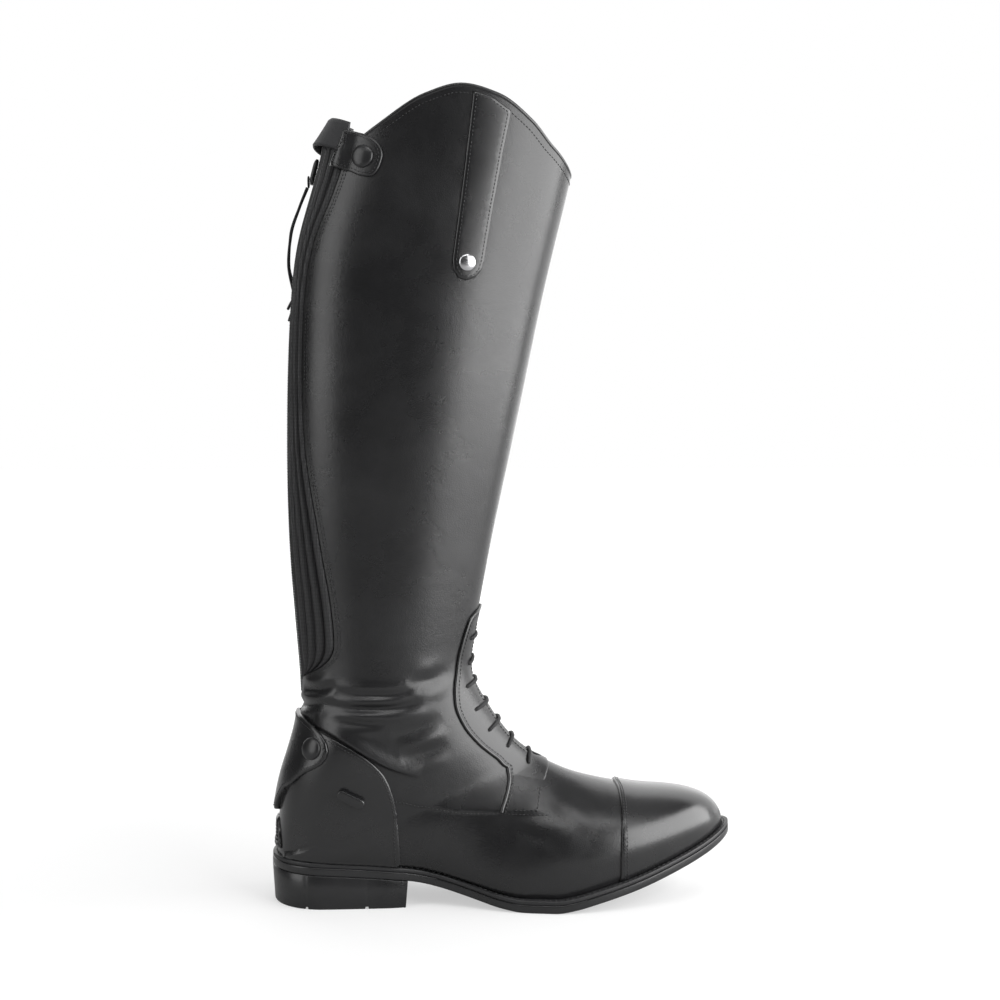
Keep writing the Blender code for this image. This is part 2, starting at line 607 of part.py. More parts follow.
def loft(name, rings, look, closed=False):
    rings = np.array(rings, float)
    count, size = rings.shape[:2]
    index = np.arange(count * size).reshape(count, size)
    faces = []
    for i in range(count if closed else count - 1):
        ring, after = index[i], index[(i + 1) % count]
        for j in range(size):
            k = (j + 1) % size
            faces.append((ring[j], ring[k], after[k], after[j]))
    if not closed:
        faces += [tuple(index[0][::-1]), tuple(index[-1])]
    flat = rings.reshape(-1, 3)
    keys, remap, merged = {}, [], []
    for point in flat:
        key = tuple(np.round(point, 4))
        if key not in keys:
            keys[key] = len(merged)
            merged.append(point)
        remap.append(keys[key])
    clean = []
    for face in faces:
        ids = [remap[i] for i in face]
        ids = [a for a, b in zip(ids, ids[1:] + ids[:1]) if a != b]
        if len(set(ids)) > 2:
            clean.append(ids)
    merged = np.array(merged)
    volume = 0.0
    for face in clean:
        for b, c in zip(face[1:], face[2:]):
            volume += np.dot(merged[face[0]], np.cross(merged[b], merged[c]))
    if volume < 0:
        clean = [face[::-1] for face in clean]
    return add_object(name, merged, clean, *look)


def boss(name, centre, lift, outline, levels, look, lean=0.0):
    s, u = np.array([centre[0]]), np.array([centre[1]])
    origin = LAST.surface(s, u, lift)[0]
    normal = LAST.look_up(LAST.normals, s, u)[0]
    normal /= np.linalg.norm(normal)
    up = np.array([0, 0, 1.0]) - normal * normal[2]
    up /= np.linalg.norm(up)
    side = np.cross(up, normal)
    across, along = side * math.cos(lean) + up * math.sin(lean), up * math.cos(lean) - side * math.sin(lean)
    rings = [[origin + (across * p[0] + along * p[1]) * scale + normal * height for p in outline]
             for scale, height in levels]
    return loft(name, rings, look)


def tube(name, route, radius, look, sides=8):
    route = np.array(route, float)
    tangent = np.gradient(route, axis=0)
    tangent /= np.linalg.norm(tangent, axis=1, keepdims=True)
    guide = np.array([0.0, 0.0, 1.0]) if abs(tangent[0, 2]) < 0.9 else np.array([0.0, 1.0, 0.0])
    rings = []
    for point, ahead in zip(route, tangent):
        side = np.cross(ahead, guide)
        side /= np.linalg.norm(side)
        guide = np.cross(side, ahead)
        turns = np.arange(sides) * 2 * math.pi / sides
        rings.append([point + radius * (math.cos(t) * side + math.sin(t) * guide) for t in turns])
    return loft(name, rings, look)


def smooth_route(points, count):
    points = np.array(points, float)
    run = np.concatenate([[0], np.cumsum(np.linalg.norm(np.diff(points, axis=0), axis=1))])
    at = np.linspace(0, run[-1], count)
    return np.stack([monotone(run, column, at) for column in points.T], 1)


# Finishes: colour, roughness, metallic

LEATHER = ((0.018, 0.018, 0.02), 0.42)
POLISHED_LEATHER = ((0.016, 0.016, 0.018), 0.28)
SOLE_RUBBER = ((0.014, 0.014, 0.015), 0.45)
WELT_LEATHER = ((0.02, 0.02, 0.021), 0.5)
LINING = ((0.05, 0.05, 0.052), 0.8)
ELASTIC = ((0.012, 0.012, 0.014), 0.7)
TAPE = ((0.01, 0.01, 0.011), 0.85)
TEETH = ((0.02, 0.02, 0.021), 0.5)
LACE = ((0.012, 0.012, 0.013), 0.75)
SNAP = ((0.015, 0.015, 0.017), 0.25)
SLIDER_METAL = ((0.05, 0.05, 0.052), 0.3, 1.0)
STUD_METAL = ((0.6, 0.6, 0.62), 0.22, 1.0)


# Sole pieces

def stations(first, last, count):
    return first + (last - first) * (1 - np.cos(np.linspace(0, math.pi, count))) / 2


def make_outsole():
    rings = []
    for x in stations(0.0, SOLE_LENGTH, SOLE_STATIONS):
        low = sole_bottom(x)
        high = low + OUTSOLE_THICK
        left, right = sole_edge(x, LATERAL), sole_edge(x, MEDIAL)
        rings.append([(x, left, low), (x, left, high), (x, right, high), (x, right, low)])
    return loft("outsole", rings, SOLE_RUBBER)


def make_heel():
    cuts = [(x, 0.0) for x in stations(0.0, 18.0, 9)]
    for at in GROOVE_AT:
        near, far = at - GROOVE_WIDTH / 2, at + GROOVE_WIDTH / 2
        cuts += [(near, 0.0), (near + 0.01, GROOVE_DEEP), (far - 0.01, GROOVE_DEEP), (far, 0.0)]
    cuts += [(x, 0.0) for x in (30.0, 38.0, 48.0, 70.0, HEEL_BREAST_X)]
    rings = []
    for x, floor in sorted(cuts):
        high = sole_bottom(x) - FIT_GAP
        left, right = sole_edge(x, LATERAL), sole_edge(x, MEDIAL)
        lean = HEEL_TAPER * (1 - 2 * x / HEEL_BREAST_X)
        shrink = 1 - HEEL_TAPER / max(right, HEEL_TAPER)
        tread = [(x + lean, left * shrink, floor), (x + lean, right * shrink, floor)]
        rings.append([tread[0], (x, left, high), (x, right, high), tread[1]])
    return loft("heel", rings, SOLE_RUBBER)


def perimeter(count):
    xs = stations(0.0, SOLE_LENGTH, count)
    left = np.stack([xs, sole_edge(xs, LATERAL)], 1)
    right = np.stack([xs, sole_edge(xs, MEDIAL)], 1)
    return np.concatenate([left, right[-2:0:-1]])


def inset(loop, room):
    tangent = np.roll(loop, -1, 0) - np.roll(loop, 1, 0)
    normal = np.stack([-tangent[:, 1], tangent[:, 0]], 1)
    return loop + room * normal / np.linalg.norm(normal, axis=1, keepdims=True)


def make_welt():
    outer = perimeter(WELT_STATIONS)
    inner = inset(outer, WELT_WIDTH)
    rings = []
    for (ax, ay), (bx, by) in zip(outer, inner):
        a_low = sole_bottom(ax) + OUTSOLE_THICK + FIT_GAP
        b_low = sole_bottom(bx) + OUTSOLE_THICK + FIT_GAP
        edge = [(ax, ay, a_low), (ax, ay, a_low + WELT_THICK)]
        rings.append(edge + [(bx, by, b_low + WELT_THICK), (bx, by, b_low)])
    return loft("welt", rings, WELT_LEATHER, closed=True)


def make_insole():
    room = WALL + INSOLE_ROOM
    rings = []
    for x in stations(FEATHER_START_X, FEATHER_END_X, SOLE_STATIONS):
        squeeze = 1 - 2 * room / (FEATHER_END_X - FEATHER_START_X)
        at = FEATHER_START_X + room + (x - FEATHER_START_X) * squeeze
        middle = (feather_edge(x, LATERAL) + feather_edge(x, MEDIAL)) / 2
        half = (feather_edge(x, MEDIAL) - feather_edge(x, LATERAL)) / 2
        half *= 1 - room / max(feather_edge(150.0, MEDIAL), half)
        low = feather_height(at) + 2 * FIT_GAP
        high = low + INSOLE_THICK
        left, right = middle - half, middle + half
        rings.append([(at, left, low), (at, left, high), (at, right, high), (at, right, low)])
    return loft("insole", rings, LINING)


# Upper: the leather wall, open at collar, throat, back panel and underneath

def panel_heights(top, bottom, below):
    calf = np.linspace(top, PANEL_CALF_Z, 7)
    leg = np.linspace(PANEL_CALF_Z, PANEL_BEND_Z, 4)[1:]
    return np.concatenate([calf, leg, np.linspace(PANEL_BEND_Z, bottom, below)[1:]])


def collar_line(count):
    lateral = panel_edge(LATERAL)[:1] + side_points(COLLAR_LATERAL[1:], LATERAL)
    medial = panel_edge(MEDIAL)[:1] + side_points(COLLAR_MEDIAL[1:], MEDIAL)
    front = LAST.from_front(COLLAR_FRONT_Z, 0.0)
    knots = np.array(lateral + [front] + medial[::-1])
    u = np.linspace(knots[0, 1], knots[-1, 1], count)
    return np.stack([monotone(knots[:, 1], knots[:, 0], u), u], 1)


def panel_edge(side):
    top = COLLAR_LATERAL[0][1] if side == LATERAL else COLLAR_MEDIAL[0][1]
    z = panel_heights(top, PANEL_EDGE[-1][0], 12)
    return [LAST.from_back(at, side * table_curve(PANEL_EDGE, at)) for at in z]


def throat_loop(spare=0.0):
    z = np.linspace(THROAT_EDGE[0][0], THROAT_EDGE[-1][0], 15)
    half = table_curve(THROAT_EDGE, z) + spare
    right = [LAST.from_front(at, w) for at, w in zip(z, half)]
    left = [LAST.from_front(at, -w) for at, w in zip(z, half)]
    return right + left[::-1]


def toe_points():
    tip = LAST.rows[-1]
    return [(tip - back, u) for back in (0.5, 1.0) for u in (-0.4, 0.4)]


def throat_ring():
    return throat_loop(THROAT_RING)


def back_rows(first, last, step):
    reach = LAST.reach
    ends = np.interp((first, last), LAST.rows, reach)
    count = max(2, int(math.ceil((ends[1] - ends[0]) / step)) + 1)
    return np.interp(np.linspace(ends[0], ends[1], count), reach, LAST.rows)


def make_upper():
    tip = len(LAST.cut["front_x"]) - 1
    collar = collar_line(COLLAR_POINTS)
    lateral_edge = panel_edge(LATERAL)
    medial_edge = panel_edge(MEDIAL)
    seam_top = LAST.from_back(PANEL_BOTTOM_Z, 0.0)[0]
    seam = list(back_rows(seam_top, LAST.heel_row, SEAM_STEP))
    feather = list(back_rows(LAST.heel_row, LAST.rows[tip], SEAM_STEP))[1:]
    down = seam + feather
    loop = [tuple(p) for p in collar]
    loop += medial_edge[1:]
    loop += [(s, 1.0) for s in down]
    loop.append((LAST.rows[tip], 0.0))
    loop += [(s, -1.0) for s in down[::-1]]
    loop += lateral_edge[:0:-1]
    panel("upper", [loop, throat_loop()], -WALL, 0.0, LEATHER, LAST.front_chart, UPPER_STEP,
          throat_ring() + toe_points())


def ridge_row(x):
    foot = LAST.rows >= LAST.heel_row
    return np.interp(x, LAST.cut["front_x"][foot], LAST.rows[foot])


def mirrored(points):
    return [(s, -u) for s, u in points[::-1]]


def side_points(table, side):
    return [LAST.from_side(x, z, side) for x, z in table]


def rounded(points, step):
    flat = np.array(points, float)
    chart = LAST.front_chart(flat[:, 0], flat[:, 1])
    run = np.concatenate([[0], np.cumsum(np.linalg.norm(np.diff(chart, axis=0), axis=1))])
    at = np.linspace(0, run[-1], max(2, int(run[-1] / step) + 1))
    return list(zip(monotone(run, flat[:, 0], at), monotone(run, flat[:, 1], at)))


def low_edge(first, last, side, step):
    share = np.linspace(1, 0.3, 281)
    out = []
    for s in back_rows(first, last, step):
        row = np.full(len(share), s)
        points = LAST.surface(row, side * share, ROUND_LAYER + OVERLAY_THICK)
        high = points[:, 2] - feather_height(points[:, 0]) > LOW_EDGE_ROOM
        out.append((s, side * share[np.argmax(high)]))
    return out


def make_tongue():
    z = np.linspace(TONGUE_TOP_Z, TONGUE_BOTTOM_Z, 12)
    half = np.interp(z, (TONGUE_BOTTOM_Z, 104.0, 160.0, TONGUE_TOP_Z), (6.5, TONGUE_HALF, TONGUE_HALF, 9.0))
    share = np.linspace(-1, 1, 5)
    grid = np.array([[LAST.from_front(at, w * k) for k in share] for at, w in zip(z, half)])
    high = -WALL - TONGUE_ROOM
    return strip("tongue", grid[:, :, 0], grid[:, :, 1], high - TONGUE_THICK, high, LEATHER)


def overlay(name, loops, look, chart, step, extra=()):
    panel(name, loops, ROUND_LAYER, ROUND_LAYER + OVERLAY_THICK, look, chart, step, extra)


def make_lace_facing():
    lateral = rounded([LAST.from_front(FACING_TOP_Z, 0.0)] + side_points(FACING_EDGE, LATERAL), 7.0)
    corner = side_points(FACING_FOOT, LATERAL)
    front = (ridge_row(FACING_FRONT_X), 0.0)
    loop = lateral + corner + [front] + mirrored(corner) + mirrored(lateral)[:-1]
    loops = [loop, throat_loop(FIT_GAP)]
    overlay("lace_facing", loops, LEATHER, LAST.front_chart, FACING_STEP, throat_ring())


def make_lace_bars():
    lift = ROUND_LAYER + OVERLAY_THICK + FIT_GAP + LACE_RADIUS
    for number, (z, reach, drop) in enumerate(LACE_BARS, 1):
        at = np.array([LAST.from_front(z - drop * k**2, reach * k) for k in np.linspace(-1, 1, 9)])
        tube(f"lace_bar_{number}", LAST.surface(at[:, 0], at[:, 1], lift), LACE_RADIUS, LACE, 6)


def make_toe_cap():
    seam = rounded([(ridge_row(TOE_CAP_SEAM[0][0]), 0.0)] + side_points(TOE_CAP_SEAM[1:], LATERAL), 8.0)
    tip = LAST.rows[-1]
    half = seam[:-1] + low_edge(seam[-1][0], tip, LATERAL, 9.0)
    loop = half + [(tip, 0.0)] + mirrored(half)[:-1]
    overlay("toe_cap", [loop], POLISHED_LEATHER, LAST.front_chart, TOE_CAP_STEP, toe_points())


def make_counter():
    seam = rounded(side_points(COUNTER_SEAM, LATERAL) + [LAST.from_back(COUNTER_TOP_Z, -0.01)], 9.0)
    seam[-1] = (seam[-1][0], -1.0)
    edge = low_edge(LAST.heel_row + 0.05, seam[0][0], LATERAL, 9.0)
    half = edge[:-1] + seam[:-1]
    loop = half + [seam[-1]] + mirrored(half) + [(LAST.heel_row - 0.45, -1.0)]
    overlay("counter", [loop], POLISHED_LEATHER, LAST.back_chart, COUNTER_STEP)


def make_back_stay():
    loop = [LAST.from_back(z, girth) for z, girth in BACK_STAY]
    high = LAYER_2 + OVERLAY_THICK
    panel("back_stay", [loop], LAYER_2, high, POLISHED_LEATHER, LAST.back_chart, SMALL_STEP)


def make_heel_flap():
    loop = [LAST.from_back(z, girth) for z, girth in FLAP_MEDIAL]
    loop += side_points(FLAP_LATERAL, LATERAL)
    high = LAYER_2 + SECOND_LAYER_THICK
    panel("heel_flap", [loop], LAYER_2, high, POLISHED_LEATHER, LAST.back_chart, SMALL_STEP)


def make_side_strap():
    loop = side_points(SIDE_STRAP, LATERAL)
    high = LAYER_1 + SECOND_LAYER_THICK
    panel("side_strap", [loop], LAYER_1, high, LEATHER, LAST.front_chart, STRAP_STEP)


# Back panel: pleated gussets, zip and the band over its top

def make_gusset(side, pleats, name):
    z = panel_heights(PANEL_TOP_Z, GUSSET_BOTTOM_Z, 6)
    share = np.linspace(0, 1, 2 * pleats + 1)
    outer = table_curve(PANEL_EDGE, z) - GUSSET_ROOM
    inner = ZIP_HALF + FIT_GAP
    girths = side * (inner + (outer - inner)[:, None] * share)
    grid = np.array([[LAST.from_back(at, girth) for girth in row] for at, row in zip(z, girths)])
    high = np.where(np.arange(len(share)) % 2, PLEAT_RIDGE, PLEAT_VALLEY)
    return strip(name, grid[:, :, 0], grid[:, :, 1], PLEAT_VALLEY - GUSSET_THICK, high, ELASTIC)


def back_strip(name, z, half, low, high, look, columns):
    share = np.linspace(-1, 1, columns)
    grid = np.array([[LAST.from_back(at, w * k) for k in share] for at, w in zip(z, half)])
    return strip(name, grid[:, :, 0], grid[:, :, 1], low, high, look)


def make_zip():
    z = panel_heights(PANEL_TOP_Z, PANEL_EDGE[-1][0], 12)
    half = np.minimum(ZIP_HALF, table_curve(PANEL_EDGE, z) - GUSSET_ROOM)
    back_strip("zip_tape", z, half, TAPE_HIGH - TAPE_THICK, TAPE_HIGH, TAPE, 3)
    z = panel_heights(SLIDER_Z - SLIDER_LONG / 2 - FIT_GAP, PANEL_EDGE[-1][0] + 1.5, 5)
    low = TAPE_HIGH + 2 * FIT_GAP
    back_strip("zip_teeth", z, np.full(len(z), TEETH_HALF), low, low + TEETH_HIGH, TEETH, 3)
    outline = rounded_box(SLIDER_WIDE, SLIDER_LONG, 3.0)
    levels = ((1.0, 0.0), (1.0, 2.4), (0.8, 3.6))
    boss("zip_slider", LAST.from_back(SLIDER_Z, 0.0), low + SLIDER_LIFT, outline, levels, SLIDER_METAL)


def make_collar_strap():
    share = np.linspace(-1, 1, 13)
    girth = share * STRAP_REACH
    middle = STRAP_Z - STRAP_DROP * share**2
    rise = np.array((1.0, 0.0))
    grid = np.array([[LAST.from_back(z + (h - 0.5) * STRAP_HIGH, v) for z, v in zip(middle, girth)] for h in rise])
    low = LAYER_2 + (STRAP_STAND_OFF - STRAP_LEAN * rise[:, None]) * (1 - share**2)
    return strip("collar_strap", grid[:, :, 0], grid[:, :, 1], low, low + STRAP_THICK, ELASTIC)


def make_strap_tab(name, root, outline, side):
    loop = [LAST.from_back(z, side * (STRAP_REACH + FIT_GAP)) for z in root]
    loop += side_points(outline, side)
    panel(name, [loop], LAYER_1, LAYER_1 + SECOND_LAYER_THICK, LEATHER, LAST.front_chart, SMALL_STEP)


# Small hard pieces

def disc(radius, sides=12):
    turns = np.arange(sides) * 2 * math.pi / sides
    return [(radius * math.cos(t), radius * math.sin(t)) for t in turns]


def rounded_box(wide, long, corner, steps=3):
    points = []
    for k in range(4):
        cx = (wide / 2 - corner) * (1 if k in (0, 3) else -1)
        cy = (long / 2 - corner) * (1 if k in (0, 1) else -1)
        for i in range(steps + 1):
            t = math.pi / 2 * (k + i / steps)
            points.append((cx + corner * math.cos(t), cy + corner * math.sin(t)))
    return points


def make_snaps():
    dome = ((1.0, 0.0), (1.0, 1.2), (0.78, 2.1), (0.35, 2.5))
    over_tab = LAYER_1 + SECOND_LAYER_THICK + FIT_GAP
    boss("strap_snap", LAST.from_side(*STRAP_SNAP_AT, LATERAL), over_tab, disc(SNAP_RADIUS), dome, SNAP)
    over_flap = LAYER_2 + SECOND_LAYER_THICK + FIT_GAP
    boss("flap_snap", LAST.from_side(*FLAP_SNAP_AT, LATERAL), over_flap, disc(SNAP_RADIUS), dome, SNAP)
    stud = ((1.0, 0.0), (1.0, 0.6), (0.75, 1.5), (0.35, 1.9))
    boss("side_stud", LAST.from_side(*STUD_AT, LATERAL), over_tab, disc(STUD_RADIUS), stud, STUD_METAL)


def make_spur_rests():
    ledge = ((1.0, 0.0), (1.0, 2.6), (0.78, 3.8))
    outline = rounded_box(SPUR_REST_LONG, SPUR_REST_HIGH, SPUR_REST_HIGH / 2 - 0.01)
    for name, side in (("spur_rest_lateral", LATERAL), ("spur_rest_medial", MEDIAL)):
        lean = side * math.radians(SPUR_REST_LEAN)
        boss(name, LAST.from_side(*SPUR_REST_AT, side), LAYER_2, outline, ledge, POLISHED_LEATHER, lean)


def over_back(rows):
    place = np.array([LAST.from_back(z, girth) for z, girth, lift in rows])
    return LAST.surface(place[:, 0], place[:, 1], [row[2] for row in rows])


def make_pull_cord():
    for number, rows in enumerate((CORD_STRAND_1, CORD_STRAND_2), 1):
        tube(f"pull_cord_{number}", smooth_route(over_back(rows), 10), CORD_RADIUS, LACE, 6)
    for number, rows in enumerate((CORD_END_1, CORD_END_2), 1):
        tube(f"cord_end_{number}", smooth_route(over_back(rows), 4), CORD_RADIUS, LACE, 6)
    middle = over_back([KNOT_AT])[0]
    rings = []
    for turn in np.linspace(0, math.pi, 7):
        centre = middle - np.array((0, 0, KNOT_RADIUS * math.cos(turn)))
        radius = KNOT_RADIUS * math.sin(turn)
        rings.append([centre + np.array((p[0], p[1], 0)) for p in disc(radius, 10)])
    loft("cord_knot", rings, LACE)


def clear_scene():
    for thing in list(bpy.data.objects):
        bpy.data.objects.remove(thing, do_unlink=True)


def build():
    clear_scene()
    make_outsole()
    make_heel()
    make_welt()
    make_insole()
    make_upper()
    make_tongue()
    make_toe_cap()
    make_counter()
    make_back_stay()
    make_lace_facing()
    make_lace_bars()
    make_gusset(LATERAL, LATERAL_PLEATS, "gusset_lateral")
    make_gusset(MEDIAL, MEDIAL_PLEATS, "gusset_medial")
    make_zip()
    make_collar_strap()
    make_strap_tab("strap_tab_lateral", (450.5, 471.0), LATERAL_TAB, LATERAL)
    make_strap_tab("strap_tab_medial", (455.5, 473.0), MEDIAL_TAB, MEDIAL)
    make_heel_flap()
    make_side_strap()
    make_snaps()
    make_spur_rests()
    make_pull_cord()


build()
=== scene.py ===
import math

import bpy
import numpy as np
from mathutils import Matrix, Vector
from mathutils.geometry import delaunay_2d_cdt


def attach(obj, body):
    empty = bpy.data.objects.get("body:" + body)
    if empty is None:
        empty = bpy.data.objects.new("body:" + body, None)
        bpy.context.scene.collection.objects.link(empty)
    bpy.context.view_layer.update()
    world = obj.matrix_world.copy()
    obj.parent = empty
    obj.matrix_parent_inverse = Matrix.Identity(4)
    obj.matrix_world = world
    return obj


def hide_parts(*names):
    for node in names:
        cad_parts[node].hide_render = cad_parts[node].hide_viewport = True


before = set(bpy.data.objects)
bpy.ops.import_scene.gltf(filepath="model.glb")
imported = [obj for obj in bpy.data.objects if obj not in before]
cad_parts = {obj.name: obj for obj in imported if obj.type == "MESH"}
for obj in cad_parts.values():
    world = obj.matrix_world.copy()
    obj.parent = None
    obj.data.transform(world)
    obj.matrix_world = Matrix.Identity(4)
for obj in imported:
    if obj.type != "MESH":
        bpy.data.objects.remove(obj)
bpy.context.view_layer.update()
print("frame loaded")

# sizes in millimetres as on the part: x heel to toe, y lateral (minus) to medial, z up
lateral = -1
medial = 1
partShift = np.array((-145.0, 1.5, 0.0))
millimetre = 0.001

soleForm = {
    "length": 290.0,
    "toeTipY": 7.0,
    "outsole": 5.0,
    "welt": 2.5,
    "gap": 0.35,
    "lateralEdge": (
        (34, -33.5), (72, -33.0), (97, -30.2), (116, -33.5), (143, -43.0), (165, -48.2), (181, -50.0),
    ),
    "medialEdge": ((34, 33.5), (75, 32.6), (108, 30.0), (135, 33.0), (165, 41.5), (190, 46.3), (203, 47.0)),
    "heelPower": 2.05,
    "lateralToePower": 1.8,
    "medialToePower": 2.2,
    "rise": (
        (0, 22.5), (40, 20.6), (84, 16.7), (104, 12.2), (126, 5.9), (142, 1.7), (154, 0.0), (174, 0.0),
        (187, 1.9), (200, 5.2), (225, 12.1), (251, 20.9), (275, 29.6), (290, 36.0),
    ),
    "featherStart": 4.5,
    "featherEnd": 284.5,
    "featherHeel": 0.925,
    "featherBall": 0.9,
    "featherSpan": (60, 150),
}

# leg: front x, front z, back x, back z, lateral, medial, widest, front power, back power
# foot: front x, front z, base x, lateral bulge, medial bulge, widest, front power, back power, ridge y
lastForm = {
    "leg": (
        (199.3, 505.0, 37.0, 505.0, 46.5, 46.5, 0.47, 2.0, 2.3),
        (191.6, 470.0, 34.5, 470.0, 46.7, 46.7, 0.47, 2.0, 2.4),
        (184.9, 440.0, 27.5, 440.0, 46.9, 46.9, 0.46, 2.0, 2.45),
        (176.2, 405.0, 17.5, 405.0, 46.9, 46.9, 0.46, 2.0, 2.5),
        (168.0, 370.0, 13.8, 370.0, 46.6, 46.6, 0.46, 2.0, 2.45),
        (157.8, 320.0, 11.5, 320.0, 45.5, 45.5, 0.47, 2.0, 2.35),
        (147.2, 270.0, 11.0, 270.0, 43.5, 43.5, 0.48, 2.0, 2.2),
        (137.5, 225.0, 12.0, 225.0, 41.5, 41.5, 0.49, 2.0, 2.0),
        (131.0, 190.0, 14.3, 190.0, 40.3, 40.3, 0.5, 2.0, 1.9),
        (126.4, 164.0, 16.8, 158.0, 39.6, 39.6, 0.5, 2.0, 1.9),
        (124.3, 150.0, 18.3, 140.0, 39.4, 39.4, 0.49, 2.0, 1.95),
        (125.6, 139.0, 18.8, 124.0, 39.6, 39.6, 0.48, 2.0, 2.05),
        (129.8, 129.3, 16.8, 108.0, 40.0, 40.0, 0.46, 2.0, 2.2),
        (135.3, 120.5, 12.0, 92.0, 40.0, 40.0, 0.44, 2.0, 2.4),
        (141.3, 111.3, 8.3, 76.0, 39.6, 39.6, 0.43, 2.0, 2.5),
        (147.8, 102.8, 6.4, 60.0, 38.8, 38.8, 0.42, 2.0, 2.5),
        (153.3, 97.0, 5.5, 46.0, 37.6, 37.6, 0.41, 2.0, 2.55),
        (157.3, 93.4, 4.9, 37.0, 36.8, 36.8, 0.40, 2.0, 2.6),
    ),
    "foot": (
        (160.0, 91.4, 4.5, 36.4, 36.2, 0.39, 2.0, 2.6, 0.0),
        (162.5, 89.7, 6.8, 24.2, 24.0, 0.38, 2.0, 2.5, 0.2),
        (165.0, 88.0, 12.0, 15.6, 15.2, 0.37, 2.0, 2.4, 0.4),
        (168.2, 86.2, 25.0, 6.7, 6.1, 0.36, 2.0, 2.3, 0.7),
        (172.8, 83.6, 45.0, 4.7, 3.7, 0.35, 2.0, 2.2, 1.1),
        (178.8, 80.7, 72.0, 4.9, 3.6, 0.34, 2.0, 2.1, 1.6),
        (186.8, 77.2, 105.0, 8.0, 5.6, 0.33, 2.0, 2.0, 2.2),
        (195.8, 74.3, 138.0, 6.2, 7.4, 0.32, 2.0, 2.0, 2.8),
        (205.8, 71.6, 165.0, 3.2, 4.6, 0.30, 2.0, 2.0, 3.4),
        (217.8, 69.0, 192.0, 1.3, 2.2, 0.29, 2.05, 2.0, 4.2),
        (230.8, 66.2, 216.0, 1.0, 1.8, 0.29, 2.1, 2.0, 5.0),
        (243.8, 65.0, 237.0, 0.9, 1.5, 0.29, 2.15, 2.0, 5.7),
        (256.5, 63.6, 254.0, 0.8, 1.2, 0.30, 2.2, 2.0, 6.2),
        (267.0, 61.2, 267.5, 0.7, 0.9, 0.31, 2.25, 2.0, 6.5),
        (275.2, 57.6, 277.5, 0.5, 0.6, 0.33, 2.3, 2.0, 6.8),
        (280.8, 52.6, 283.0, 0.3, 0.3, 0.36, 2.3, 2.0, 6.95),
        (283.5, 47.2, 284.5, 0.0, 0.0, 0.40, 2.3, 2.0, 7.0),
    ),
    "rowSteps": 12,
    "halfColumns": 60,
    "arcSteps": 90,
    "keepFrom": 5,
    "keepOver": 3,
}


def monotone(knots, values, at, flatEnds=False):
    knots = np.asarray(knots, float)
    values = np.asarray(values, float)
    step = np.diff(knots)
    slope = np.diff(values) / step
    tangent = np.zeros_like(values)
    before, after = slope[:-1], slope[1:]
    rising = before * after > 0
    weightA = 2 * step[1:] + step[:-1]
    weightB = step[1:] + 2 * step[:-1]
    before, after = np.where(rising, before, 1), np.where(rising, after, 1)
    mean = (weightA + weightB) / (weightA / before + weightB / after)
    tangent[1:-1] = np.where(rising, mean, 0)
    if not flatEnds:
        tangent[0], tangent[-1] = slope[0], slope[-1]
    at = np.clip(np.asarray(at, float), knots[0], knots[-1])
    i = np.clip(np.searchsorted(knots, at, "right") - 1, 0, len(knots) - 2)
    t = (at - knots[i]) / step[i]
    rest = 1 - t
    ends = values[i] * rest**2 * (1 + 2 * t) + values[i + 1] * t**2 * (1 + 2 * rest)
    return ends + step[i] * t * rest * (tangent[i] * rest - tangent[i + 1] * t)


def tableCurve(table, at, flatEnds=False):
    table = np.asarray(table, float)
    if table[0, 0] > table[-1, 0]:
        table = table[::-1]
    return monotone(table[:, 0], table[:, 1], at, flatEnds)


def arcFall(t, power):
    return (1 - np.clip(t, 0, 1) ** power) ** (1 / power)


def soleEdge(x, side):
    table = soleForm["lateralEdge"] if side == lateral else soleForm["medialEdge"]
    power = soleForm["lateralToePower"] if side == lateral else soleForm["medialToePower"]
    tipY = soleForm["toeTipY"]
    x = np.asarray(x, float)
    heelX, heelY = table[0]
    ballX, ballY = table[-1]
    heel = heelY * arcFall((heelX - x) / heelX, soleForm["heelPower"])
    toe = tipY + (ballY - tipY) * arcFall((x - ballX) / (soleForm["length"] - ballX), power)
    return np.where(x < heelX, heel, np.where(x > ballX, toe, tableCurve(table, x, True)))


def soleBottom(x):
    return tableCurve(soleForm["rise"], x)


def featherHeight(x):
    return soleBottom(x) + soleForm["outsole"] + soleForm["welt"] + 2 * soleForm["gap"]


def featherEdge(x, side):
    start, end = soleForm["featherStart"], soleForm["featherEnd"]
    along = np.clip((np.asarray(x, float) - start) / (end - start), 0, 1)
    soleX = along * soleForm["length"]
    scale = np.interp(soleX, soleForm["featherSpan"], (soleForm["featherHeel"], soleForm["featherBall"]))
    middle = soleForm["toeTipY"] * along**2
    return middle + (soleEdge(soleX, side) - middle) * scale


def smoothed(values, width):
    before = 2 * values[0] - values[width:0:-1]
    after = 2 * values[-1] - values[-2:-width - 2:-1]
    window = np.hanning(2 * width + 1)
    return np.convolve(np.concatenate([before, values, after]), window / window.sum(), "valid")


